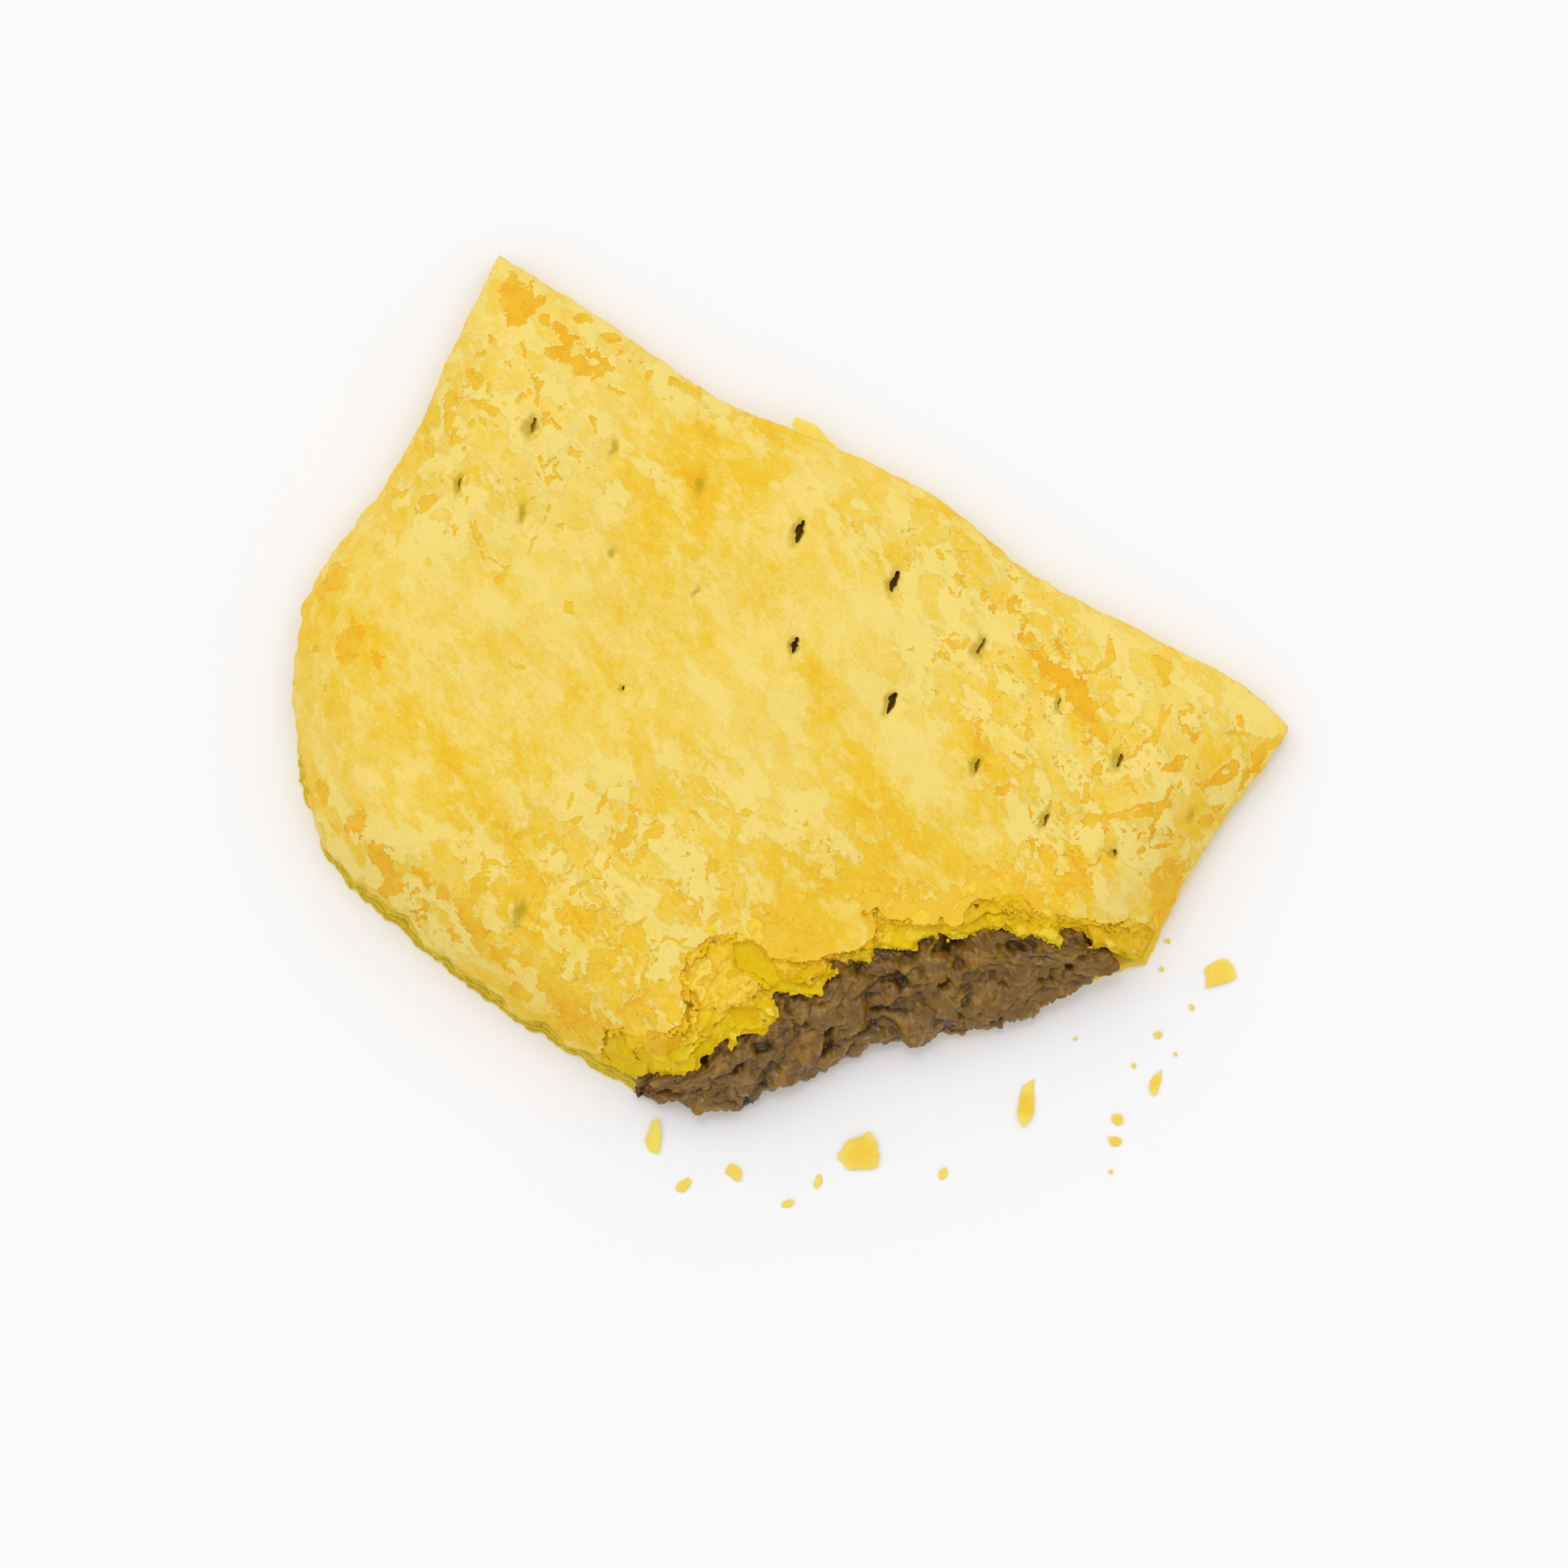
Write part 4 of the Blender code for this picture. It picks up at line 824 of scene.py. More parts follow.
@dataclass
class TopSheet:
    """The baked top: skin in plates over the layer below, its slits, and its edge down to the seam."""

    form: Form
    pitch: float = 1.37
    hollow_pitch: float = 2.2
    step: float = 0.08
    plate_tilt: float = 0.06
    roll: float = 0.45
    slit_lean: tuple[float, float] = (-0.42, -0.14)
    coast: Noise = field(default_factory=lambda: Noise(11))
    fine: Noise = field(default_factory=lambda: Noise(12))
    drift: Noise = field(default_factory=lambda: Noise(14))
    veins: Noise = field(default_factory=lambda: Noise(15))
    plates: Cells = field(default_factory=lambda: Cells(13, 4.2))

    def behind_bite(self, xy: Array) -> Array:
        """How far each place is behind the skin's torn edge, which noise makes ragged."""
        along_out = Form.to_bite(xy)
        return behind(SKIN_COAST, along_out + 1.3 * self.fine.pair(along_out, 50.0, 2.2, 4, 0.68))

    def within_outline(self, xy: Array) -> Array:
        """Distance inside the top sheet's own edge, less than 0 outside it; exact within 4 mm."""
        away = signed(self.form.top_loop[::14], xy)
        near = np.abs(away) < 4.0
        away[near] = signed(self.form.top_loop[::2], xy[near])
        return away

    def flaking(self, xy: Array) -> Array:
        """How cracked and flaked the skin is at each place, 0 to 1."""
        return heaped(FLAKED, xy)

    def warped(self, xy: Array) -> tuple[Array, Array]:
        """Places pushed about by noise, so that coasts and cracks run ragged."""
        x, y = xy.T
        wander = 1.5 * self.coast.fractal(x + 40.0, y, 3.0, 5, 0.7)
        veer = 1.5 * self.fine.fractal(x, y + 60.0, 3.0, 5, 0.7)
        return x + wander, y + veer

    def cracks(self, xy: Array) -> Array:
        """Distance to the nearest long crack less half its width, in millimetres."""
        moved = xy + 1.1 * self.fine.pair(xy, 70.0, 2.6, 4, 0.65)
        best = np.full(len(xy), 9.0)
        for crack in CRACKS:
            away, _ = nearest_on(np.array(crack.route), moved)
            width = crack.width * (0.5 + 0.9 * self.drift.at(xy[:, 0] / 3.0, xy[:, 1] / 3.0))
            best = np.minimum(best, away - width / 2.0)
        return best

    def skin(self, xy: Array) -> Array:
        """Above 0 where skin is left: a fractal coast less what has flaked, and no wide crack."""
        flaking = self.flaking(xy)
        x, y = self.warped(xy)
        moved = np.stack([x, y], axis=1)
        a, b = plan_axes(moved, 0.0, 0.0, GRAIN_TURN)
        loss = heaped(BARE, moved)
        busy = np.clip(1.8 * flaking + 1.6 * loss, 0.0, 1.0)
        bits = self.drift.fractal(a * 1.3, b * 0.8, 1.5, 3, 0.7)
        island = 0.62 + (0.35 + 0.9 * busy) * self.coast.fractal(a * 1.4, b * 0.75, 3.6, 7, 0.72)
        island = island - 0.5 * flaking - loss * (1.3 + 1.4 * bits)
        gate = ramp(self.drift.fractal(*xy.T, 4.5, 3, 0.7), -0.18, 0.5) * ramp(flaking, 0.15, 0.35)
        wide, narrow = (
            np.abs(self.veins.fractal(x + k, y, size, 3, 0.5)) for k, size in ((0.0, 7.0), (50.0, 4.2))
        )
        seam = np.minimum(wide, 1.3 * narrow) - 0.065 * gate
        away, _ = self.slit_value(xy)
        value = np.minimum(np.minimum(island, 2.2 * seam + 0.03), 0.3 * self.cracks(xy))
        band = np.interp(Form.to_bite(xy)[:, 0], *np.array(GOLD_BAND).T) * (1.0 + 1.6 * bits)
        value = np.minimum(value, 0.3 * (self.behind_bite(xy) - band))
        return np.maximum(value, 0.4 * (1.0 - away))

    def slit_value(self, xy: Array) -> tuple[Array, Array]:
        """Nearest slit as a share of its size (1 at its rim), ragged, and its depth there."""
        best, depth = np.full(len(xy), 9.0), np.zeros(len(xy))
        for slit in SLITS:
            a, b = slit.across(self.jagged(xy, 0.3))
            size = np.hypot(a, b)
            depth = np.where(size < best, slit.vent.value, depth)
            best = np.minimum(best, size)
        return best, depth

    def jagged(self, xy: Array, most: float) -> Array:
        """Places pushed by up to about most millimetres of fine noise."""
        x, y = xy.T
        push = [self.fine.fractal(x + k, y - k, 1.7, 3, 0.7) for k in (0.0, 33.0)]
        return xy + most * 2.0 * np.stack(push, axis=1)

    def open_slit(self, xy: Array) -> Array:
        """Above 0 outside the slits that the oven opened."""
        best = np.full(len(xy), 9.0)
        for slit in SLITS:
            if slit.vent is not Vent.SHUT:
                a, b = slit.across(self.jagged(xy, 0.3))
                share = 0.7 if slit.vent is Vent.OPEN else 0.4
                best = np.minimum(best, np.hypot(a / min(share + 0.15, 0.9), b / share) - 1.0)
        return best

    def heights(self, xy: Array, edge: Array) -> Array:
        """The skin's height: the baked form with dents at slits, tilted plates and a fine crumple."""
        x, y = xy.T
        z = self.form.top(xy)
        flaking = self.flaking(xy)
        tilt = self.plates.tilt(*self.warped(xy))
        fade = ramp(edge, 0.0, 1.5)
        z = z + fade * ramp(flaking, 0.1, 0.5) * self.plate_tilt * np.clip(tilt, -1.5, 1.5)
        z = z + fade * self.roll * self.fine.fractal(x, y, 9.0, 3)
        z = z + fade * (0.08 + 0.12 * flaking) * self.drift.fractal(x, y, 3.2, 2)
        for slit in SLITS:
            a, b = slit.across(xy)
            reach = np.exp(-0.5 * ((a / 1.3) ** 2 + (b * slit.width / 2.6) ** 2))
            narrow = np.exp(-0.5 * ((a / 0.8) ** 2 + (b / 0.8) ** 2))
            shut = 0.5 if slit.vent is Vent.SHUT else 0.25
            z = z - fade * (0.35 * reach + shut * narrow)
        return z

    def lining(self, xy: Array, edge: Array) -> Array:
        """The hollow's roof: the crust's thickness under the top, down to the seal round the edge."""
        roof = np.maximum(self.form.top(xy) - CRUST, SEAM)
        return SEAM + (roof - SEAM) * ramp(edge, SEAL - 0.9, 0.8)

    def mesh_plan(self) -> Sheet:
        """The plan in triangles, finer where the skin is broken and finest along its coasts."""
        sheet = Sheet.lattice((-73.5, -53.5), (73.5, 53.5), self.pitch)
        flat = np.minimum(self.within_outline(sheet.xy), self.behind_bite(sheet.xy) + 1.0)
        sheet.faces = sheet.faces[flat[sheet.faces].max(axis=1) > -1.0]
        near_slit, _ = self.slit_value(sheet.xy)
        loss, coast = heaped(BARE, sheet.xy), self.skin(sheet.xy)
        busy = (loss > 0.12) | (coast < 0.10) | (near_slit < 2.2) | (np.abs(flat) < 1.0)
        sheet.refine(busy[sheet.faces].any(axis=1) | sheet.crossed(coast, 0.8))
        coast, bite, slit = self.skin(sheet.xy), self.behind_bite(sheet.xy), self.open_slit(sheet.xy)
        sheet.refine(sheet.crossed(coast, 0.05) | sheet.crossed(bite, 0.5) | sheet.crossed(slit, 1.0))
        return sheet

    def build(self) -> Body:
        """The closed body: plates, what shows between them, slits, edge, and the hollow below."""
        sheet = self.mesh_plan()
        sheet.split(self.within_outline(sheet.xy), 0, False)
        sheet.split(self.behind_bite(sheet.xy), 0, False)
        sheet.split(self.open_slit(sheet.xy), 0, True)
        sheet.level = np.where(sheet.level == 1, SLIT_LEVEL, 0)
        slit_wall = sheet.walls.pop()[1]
        sheet.split(self.skin(sheet.xy), 0, True)
        step_wall = sheet.walls.pop()[1]
        xy, rim, count = sheet.xy, sheet.rim(), len(sheet.xy)
        edge = np.minimum(self.within_outline(xy), self.behind_bite(xy))
        skin = self.heights(xy, edge)
        step = self.step * (1.0 + 0.7 * self.drift.fractal(xy[:, 0], xy[:, 1], 8.0, 2))
        under = skin - step * ramp(edge, 0.05, 0.5)
        _, depth = self.slit_value(xy)
        tops = [np.column_stack([xy, z]) for z in (skin, under, skin - depth)]
        tops[2][:, :2] += self.slit_lean
        parts = [(sheet.faces[sheet.level == level] + shift * count, kind)
                 for level, shift, kind in (
                     (0, 0, Layer.SKIN), (1, 1, Layer.BELOW), (SLIT_LEVEL, 2, Layer.SLIT))]
        for wall, shift, kind in ((step_wall, 1, Layer.BELOW), (slit_wall, 2, Layer.SLIT)):
            low = wall + shift * count
            parts.append((np.stack([wall[:, 0], low[:, 0], low[:, 1], wall[:, 1]], axis=1), kind))
        rings, side_faces, last_loop, last_pairs = self.sides(xy, rim, skin, 3 * count)
        parts.append((side_faces, Layer.SIDE))
        start = 3 * count + len(rings)
        hollow, hollow_faces = self.underside(rings[-last_loop:], last_pairs, start - last_loop, start)
        parts.append((hollow_faces, Layer.HOLLOW))
        places = np.vstack([*tops, rings, hollow])
        kinds = np.concatenate([np.full(len(run), kind.value) for run, kind in parts])
        looks = self.looks(np.vstack([xy, xy, xy, rings[:, :2], hollow[:, :2]]))
        # How deep each slit floor lies, for the colour that darkens with depth there: partly the slit's
        # own brown, partly painted shade.
        looks["sunk"] = np.zeros(len(places))
        looks["sunk"][2 * count : 3 * count] = depth / Vent.OPEN.value
        return Body(places, [run for run, _ in parts], looks, {"layer": kinds})

    def looks(self, xy: Array) -> dict[str, Array]:
        """What the finish reads at each point: gold, toast, cover, flaking and slit_shade, the painted
        shade round the slits.
        """
        x, y = xy.T
        broad, flaking, cover = self.drift.fractal(x, y, 16.0, 3, 0.6), self.flaking(xy), self.skin(xy)
        gold = 0.42 + 0.9 * heaped(GLOW, xy) - 0.7 * heaped(PALE_SPOTS, xy) + 0.35 * broad
        # Paler rim on the skin along its coasts where it flakes: painted highlight on the plates' edges.
        gold = gold - 0.45 * (1.0 - ramp(cover, 0.0, 0.25)) * ramp(flaking, 0.1, 0.3)
        toast = 0.85 * heaped(TOASTY, xy) + 0.9 * self.fine.fractal(x, y, 2.6, 4, 0.65)
        return {
            "gold": gold, "toast": toast, "cover": cover, "flaking": flaking, "slit_shade": self.dents(xy),
        }

    def dents(self, xy: Array) -> Array:
        """How close each place is to a slit, 1 at its middle, for the painted olive shade there, set off
        a little towards -X and -Y.
        """
        slit_shade = np.zeros(len(xy))
        for slit in SLITS:
            a, b = slit.across(self.jagged(xy + (0.3, 0.25), 0.5))
            slit_shade = np.maximum(slit_shade, slit.vent.slit_shade_strength * np.exp(-0.5 * ((a / 0.85) ** 2 + (b / 1.1) ** 2)))
        return slit_shade

    def sides(self, xy: Array, rim: Array, skin: Array, start: int) -> tuple[Array, Array, int, Array]:
        """Rings from each rim vertex down to the seam, or at the bite under the skin and down.

        Args:
            xy: the plan's places.
            rim: directed edges with the sheet on their left.
            skin: the skin's height at each place.
            start: the number that the first ring's first vertex gets.

        Returns:
            The rings' places, their faces, how many vertices a ring has, and the last ring's edges.
        """
        loop, which = np.unique(rim, return_inverse=True)
        which = which.reshape(rim.shape)
        spots = xy[loop]
        closed = np.vstack([self.form.top_loop, self.form.top_loop[:1]])
        away, piece = nearest_on(closed, spots)
        run = closed[(piece + 12) % LOOP_POINTS] - closed[(piece - 12) % LOOP_POINTS]
        inward = np.stack([-run[:, 1], run[:, 0]], axis=1)
        inward /= np.linalg.norm(inward, axis=1)[:, None]
        behind = self.behind_bite(spots)
        bitten = behind < 0.05
        inward[bitten] = Form.from_bite([(0.0, -1.0)])[0]
        near = np.where(bitten, np.clip(away / 3.0, 0.0, 1.0), np.clip(behind / 2.5, 0.0, 1.0))
        rings = []
        for drop, inset, bite_drop, bite_inset in SIDE_PROFILE:
            fall = np.where(bitten, bite_drop, drop)
            ragged = 0.12 * self.fine.at(spots[:, 0] * 1.4 + 7 * drop, spots[:, 1] * 1.4)
            push = np.where(bitten, bite_inset, inset + ragged) * near
            place = spots + inward * push[:, None]
            floor = self.lining(place, np.where(bitten, away, push))
            rings.append(np.column_stack([place, skin[loop] + (floor - skin[loop]) * fall]))
        number = [loop] + [start + k * len(loop) + np.arange(len(loop)) for k in range(len(rings))]
        left, right = which.T
        faces = [
            np.stack([upper[right], upper[left], lower[left], lower[right]], axis=1)
            for upper, lower in zip(number[:-1], number[1:])
        ]
        return np.vstack(rings), np.concatenate(faces), len(loop), which

    def underside(self, ring: Array, pairs: Array, first: int, start: int) -> tuple[Array, Array]:
        """The hollow's roof: a triangulation between the last ring and a coarse lattice inside it.

        Args:
            ring: the last ring's places.
            pairs: its edges, as numbers within the ring.
            first: the number of the ring's first vertex.
            start: the number that the first new vertex gets.

        Returns:
            The new places and all faces.
        """
        spots = Sheet.lattice(*PLAN_BOX, self.hollow_pitch).xy
        clear = (self.within_outline(spots) > 1.6) & (self.behind_bite(spots) > 3.8)
        spots = spots[clear]
        flat = np.vstack([ring[:, :2], spots])
        result = delaunay_2d_cdt([Vector(place) for place in flat], pairs.tolist(), [], 1, 1e-4)
        points, _, faces, sources = result[:4]
        number = np.array([source[0] if source else -1 for source in sources])
        added = np.array([tuple(points[k]) for k in np.flatnonzero(number < 0)]).reshape(-1, 2)
        number[number < 0] = len(flat) + np.arange(len(added))
        number = np.where(number < len(ring), first + number, start + number - len(ring))
        fresh = np.vstack([spots, added])
        places = np.column_stack([fresh, self.lining(fresh, self.within_outline(fresh))])
        return places, number[np.array(faces)][:, ::-1]


# The pressed rim's layers: each one's share of the way in, and its upper and lower height.
PRESSED_LAYERS = ((0.62, 2.3, 1.65), (0.3, 1.55, 0.95), (0.0, 0.85, 0.2))


@dataclass
class BottomSheet:
    """The pressed bottom sheet, whose layered rim stands out beyond the top one."""

    form: Form
    torn: Noise = field(default_factory=lambda: Noise(21))

    def loop(self) -> tuple[Array, Array]:
        """The sheet's edge with the bite in it, and which of its points are in the bite."""
        form = self.form
        tucked = 1.1 * (1.0 - np.clip(form.stands_out(form.loop), 0.0, 1.0))
        loop = moved_in(form.loop, tucked + 0.6 * form.wear(form.loop))
        along, out = Form.to_bite(loop).T
        beyond = np.flatnonzero(out > Form.edge(BASE_EDGE, along))
        first, last = beyond[0], beyond[-1]
        stretch = np.arange(along[first], along[last], 0.3)
        rough = 0.55 * self.torn.fractal(stretch, 0 * stretch, 2.4, 4, 0.65)
        edge = Form.edge(BASE_EDGE, stretch) + rough
        bite = Form.from_bite(np.stack([stretch, edge], axis=1))
        joined = np.vstack([loop[:first], bite, loop[last + 1 :]])
        bitten = np.zeros(len(joined), bool)
        bitten[first : first + len(bite)] = True
        return joined, bitten

    def build(self) -> Body:
        """Rings round the edge: flat above, three pressed layers at the rim, flat below."""
        loop, bitten = self.loop()
        inward = inward_normal(loop, 9)
        inward[bitten] = Form.from_bite([(0.0, -1.0)])[0]
        arc = arc_length(loop)
        shown = np.clip(self.form.stands_out(loop), 0.6, 3.2)
        profile = [(5.0, 0.4, 2.35), (2.2, 0.6, 2.4), (0.5, 0.62, 2.38)]
        for share, top, low in PRESSED_LAYERS:
            profile += [(0.16, share, top), (0.0, share, top - 0.18)]
            profile += [(0.0, share, low + 0.14), (0.2, share, low)]
        profile += [(0.5, 0.0, 0.06), (1.0, 0.0, 0.0), (5.0, 0.0, 0.0)]
        rings = []
        for number, (inset, share, height) in enumerate(profile):
            layer = max(0, (number - 3) // 4)
            frill = self.torn.fractal(arc, arc * 0 + 5.0 * layer, 2.4, 4, 0.66)
            rough = 0.5 * np.minimum(shown, 1.6) * frill
            rough = rough + 0.09 * self.torn.at(arc * 2.2, arc * 0 + 3.1 * number)
            near = 1.0 if inset < 1.0 else 0.3
            lift = 0.16 * self.torn.fractal(arc, arc * 0 + 40.0, 4.0, 3) * min(height / 1.2, 1.0)
            place = loop + inward * (inset + share * shown + near * rough)[:, None]
            rings.append(np.column_stack([place, np.maximum(height + lift, 0.0) + 0 * arc]))
        places = np.vstack(rings)
        faces = ring_faces(len(profile), len(loop))[:, ::-1]
        depth = np.repeat(np.array([height / BASE for _, _, height in profile]), len(loop))
        shown = np.clip(self.form.stands_out(places[:, :2]) / 0.8, 0.0, 1.0)
        raw = np.maximum(shown * ramp(-places[:, 0], -42.0, 10.0), np.tile(bitten, len(profile)))
        return Body(places, [faces], {"depth": depth, "raw": raw * ramp(-places[:, 0], -52.0, 8.0)})


@dataclass(frozen=True)
class Plate:
    """A broken step of the torn face: corners as (along, out), depth under the top, and looks."""

    corners: tuple[tuple[float, float], ...]
    sunk: float
    amber: float = 0.0
    pale: float = 0.0
    rough: float = 0.2


PLATES = (
    Plate(((-14.6, 28.3), (-13.4, 26.6), (-11.5, 26.2), (-9.4, 25.2), (-7.4, 26.1), (-7.4, 29.2),
           (-7.7, 32.0), (-4.9, 32.4), (-3.8, 34.5), (-4.9, 35.6), (-7.7, 36.6), (-9.1, 37.1),
           (-11.8, 37.5), (-13.3, 36.4), (-13.6, 34.2), (-14.1, 32.3), (-15.5, 31.1)), 0.75, 0.15,
           0.85, 0.3),
    Plate(((-6.8, 26.9), (-4.0, 27.4), (-2.2, 28.9), (-1.4, 30.9), (0.0, 32.9), (-0.8, 34.8),
           (-2.6, 35.0), (-3.7, 33.8), (-4.6, 32.5), (-7.3, 31.6)), 1.3, 0.35, 0.0, 0.06),
    Plate(((-22.7, 36.3), (-16.9, 37.3), (-17.8, 39.3), (-19.2, 40.9), (-21.4, 41.4), (-23.1, 40.7),
           (-23.8, 39.0)), 0.55, 0.65, 0.3, 0.25),
    Plate(((-30.0, 35.0), (-27.2, 35.7), (-25.1, 37.8), (-23.9, 40.0), (-23.4, 41.2), (-24.5, 43.3),
           (-25.5, 44.6), (-28.3, 42.8), (-30.9, 39.9), (-31.0, 37.9)), 1.3, 0.3, 0.1, 0.18),
    Plate(((-23.1, 40.7), (-20.1, 41.5), (-18.0, 41.2), (-16.7, 42.6), (-16.9, 44.4), (-18.6, 45.0),
           (-20.9, 44.7), (-23.4, 43.3)), 1.2, 0.1, 0.15),
    Plate(((-16.4, 31.1), (-15.2, 31.7), (-14.3, 33.2), (-13.9, 35.7), (-13.6, 37.7), (-14.8, 38.3),
           (-14.2, 40.2), (-17.2, 40.4), (-18.0, 39.4), (-16.8, 36.9), (-16.5, 34.0)), 1.5, 0.6,
           0.0, 0.2),
    Plate(((-18.2, 40.4), (-14.3, 40.3), (-12.6, 40.0), (-14.1, 41.9), (-16.0, 43.0),
           (-17.4, 41.4)), 1.9, 0.2),
    Plate(((-13.6, 37.8), (-11.9, 37.8), (-9.2, 37.6), (-6.5, 39.9), (-4.2, 41.0), (-8.4, 41.0),
           (-10.5, 42.5), (-11.4, 40.8), (-13.2, 40.4)), 1.7, 0.15, 0.1),
    Plate(((-9.4, 37.1), (-6.5, 37.0), (-6.3, 38.9), (-8.5, 39.9), (-9.8, 38.8)), 1.9, 0.55, 0.0,
           0.15),
    Plate(((-5.4, 35.5), (-3.2, 34.7), (-2.3, 36.2), (-2.8, 39.8), (-4.8, 40.9), (-6.0, 39.0),
           (-6.1, 37.0)), 1.5, 0.1, 0.35, 0.45),
    Plate(((-1.6, 30.9), (1.4, 31.9), (4.4, 32.9), (6.6, 33.0), (6.5, 35.1), (2.6, 34.9),
           (-0.6, 34.7), (-1.5, 32.9)), 0.9, 0.5, 0.2),
    Plate(((-1.6, 35.1), (2.6, 35.0), (6.2, 35.5), (4.8, 38.8), (1.4, 37.2), (-1.9, 36.3)), 1.9,
           0.15, 0.05),
    Plate(((7.3, 32.1), (9.8, 32.7), (12.6, 31.9), (15.2, 32.2), (13.2, 34.6), (8.8, 33.9)), 1.3,
           0.1, 0.1),
    Plate(((14.3, 27.3), (16.4, 27.3), (17.2, 29.3), (16.6, 30.9), (15.2, 31.2), (14.5, 29.4)), 1.5,
           0.5),
    Plate(((16.3, 30.2), (19.5, 30.7), (21.9, 31.6), (24.4, 32.2), (27.8, 33.3), (27.0, 34.8),
           (23.4, 33.5), (21.0, 34.0), (20.4, 34.9), (17.4, 33.8), (15.7, 32.6)), 1.2, 0.15, 0.1),
    Plate(((30.5, 30.0), (34.3, 30.5), (34.3, 32.3), (36.5, 33.7), (38.7, 33.8), (40.7, 35.3),
           (43.1, 36.3), (42.3, 39.4), (41.2, 38.6), (39.0, 36.9), (37.0, 37.0), (35.5, 35.3),
           (33.3, 34.4), (30.4, 34.4), (29.3, 33.4)), 1.1, 0.1, 0.1, 0.35),
    Plate(((43.6, 36.0), (44.5, 36.8), (47.2, 38.4), (47.3, 39.3), (45.0, 39.0), (43.4, 38.3)), 2.2,
           0.6),
    Plate(((47.4, 37.5), (53.5, 39.3), (56.2, 39.2), (58.0, 37.0), (58.6, 39.5), (57.4, 43.2),
           (55.8, 44.3), (53.5, 44.6), (50.2, 42.1), (47.8, 41.0)), 0.9, 0.3, 0.45, 0.35),
)


@dataclass
class TornFace:
    """The face of the bitten pastry: broken steps from the skin's torn edge out to the last layer's."""

    form: Form
    pitch: float = 0.24
    levels: int = 5
    hidden: float = 2.9
    shallow: float = 0.3
    deeper: float = 2.1
    blend: float = 0.45
    proud: float = 0.07
    torn: Noise = field(default_factory=lambda: Noise(35))

    @staticmethod
    def share(along_out: Array) -> tuple[Array, Array]:
        """Each place's share of the way from the skin's edge to the last layer's, and the way in mm."""
        gone = np.maximum(-behind(SKIN_COAST, along_out), 0.0)
        left = np.maximum(behind(LAYER_COAST, along_out), 0.0)
        return gone / np.maximum(gone + left, 0.8), gone + left

    def pushed(self, along_out: Array, most: float, size: float) -> Array:
        """Places pushed about by noise of the given strength and size, both in millimetres."""
        return along_out + most * self.torn.pair(along_out, 50.0, size, 4, 0.66)

    def surface(self, xy: Array) -> tuple[Array, dict[str, Array]]:
        """The face's height and looks: uneven steps by share, with the traced plates laid over them.

        A plate fades in across its outline and stands a little proud along it, and small
        terraces with ragged edges make it rough.

        Args:
            xy: places on the plan.

        Returns:
            The height, and the looks by name: depth, riser_shade (how much a place is a step's face or a
                plate's edge, for the painted shade there), amber, pale and rough.
        """
        moved = self.pushed(Form.to_bite(xy), 0.95, 2.3)
        share, _ = self.share(moved)
        steps = self.levels * np.clip(share + 0.35 * self.torn.fractal(*xy.T, 5.5, 4, 0.62), 0.0, 1.0)
        fall = ramp(steps - np.floor(steps), 0.72, 0.28)
        sunk = self.shallow + self.deeper * np.clip((np.floor(steps) + fall) / self.levels, 0.0, 1.0)
        riser_shade = 4.0 * fall * (1.0 - fall)
        looks = {"amber": 0.25 * share, "pale": 0.3 * (1.0 - share), "rough": np.full(len(xy), 0.25)}
        for plate in PLATES:
            away = signed(np.array(plate.corners), moved)
            cover = ramp(away, -self.blend / 3.0, self.blend)
            proud = self.proud * np.exp(-np.clip(away, 0.0, 9.0) / 0.5)
            sunk = sunk * (1.0 - cover) + (plate.sunk - proud) * cover
            riser_shade = np.maximum(riser_shade * (1.0 - cover), 4.0 * cover * (1.0 - cover))
            for key in looks:
                looks[key] = looks[key] * (1.0 - cover) + getattr(plate, key) * cover
        terraces = 4.2 * self.torn.fractal(*(moved + 30.0).T, 5.0, 3, 0.5)
        level = np.floor(terraces)
        climb = ramp(terraces - level, 0.7, 0.3)
        crumb = self.torn.fractal(*xy.T, 1.3, 3, 0.7)
        swell = self.torn.fractal(*(xy + 90.0).T, 4.0, 3, 0.5)
        z = self.form.top(xy) - sunk + 0.45 * swell
        z = z + looks["rough"] * (1.3 * (level + climb) + 0.35 * crumb)
        shade = 0.9 * ((0.618 * level) % 1.0) - 0.3 + 0.2 * level + 0.8 * crumb
        looks["pale"] = looks["pale"] + 2.4 * looks["rough"] * shade
        looks["amber"] = looks["amber"] - 1.2 * looks["rough"] * shade
        riser_shade = np.maximum(riser_shade, 4.0 * climb * (1.0 - climb) * np.clip(4.0 * looks["rough"], 0.0, 1.0))
        depth = np.clip(sunk / (self.shallow + self.deeper), 0.0, 1.0)
        return z, {"depth": depth, "riser_shade": riser_shade, **looks}

    def build(self) -> Body:
        """The closed body of the face, from under the skin out to a toothed lower edge."""
        sheet = Sheet.lattice(*BITE_BOX, self.pitch)
        sheet.split(behind(LAYER_COAST, self.pushed(sheet.xy, 1.2, 1.9)) + 0.15, 0, False)
        sheet.split(self.hidden - behind(SKIN_COAST, sheet.xy), 0, False)
        sheet.split(self.clear_of_outline(sheet) - 0.25, 0, False)
        along_out, faces, rim = sheet.trimmed()
        plan = Form.from_bite(along_out)
        z, looks = self.surface(plan)
        low = np.maximum(self.form.top(plan) - CRUST + 0.05, SEAM + 0.02)
        values = {key: np.tile(value, 2) for key, value in looks.items()}
        # The lower side is marked so that the finish paints amber shade under the slab.
        values["under"] = np.repeat([0.0, 1.0], len(plan))
        return Body.slab(plan, np.maximum(z, low + 0.25), low, faces, rim, values)

    def clear_of_outline(self, sheet: Sheet) -> Array:
        """Distance of a sheet's places inside the top sheet's edge, less than 0 outside it."""
        return signed(self.form.top_loop[::4], Form.from_bite(sheet.xy))


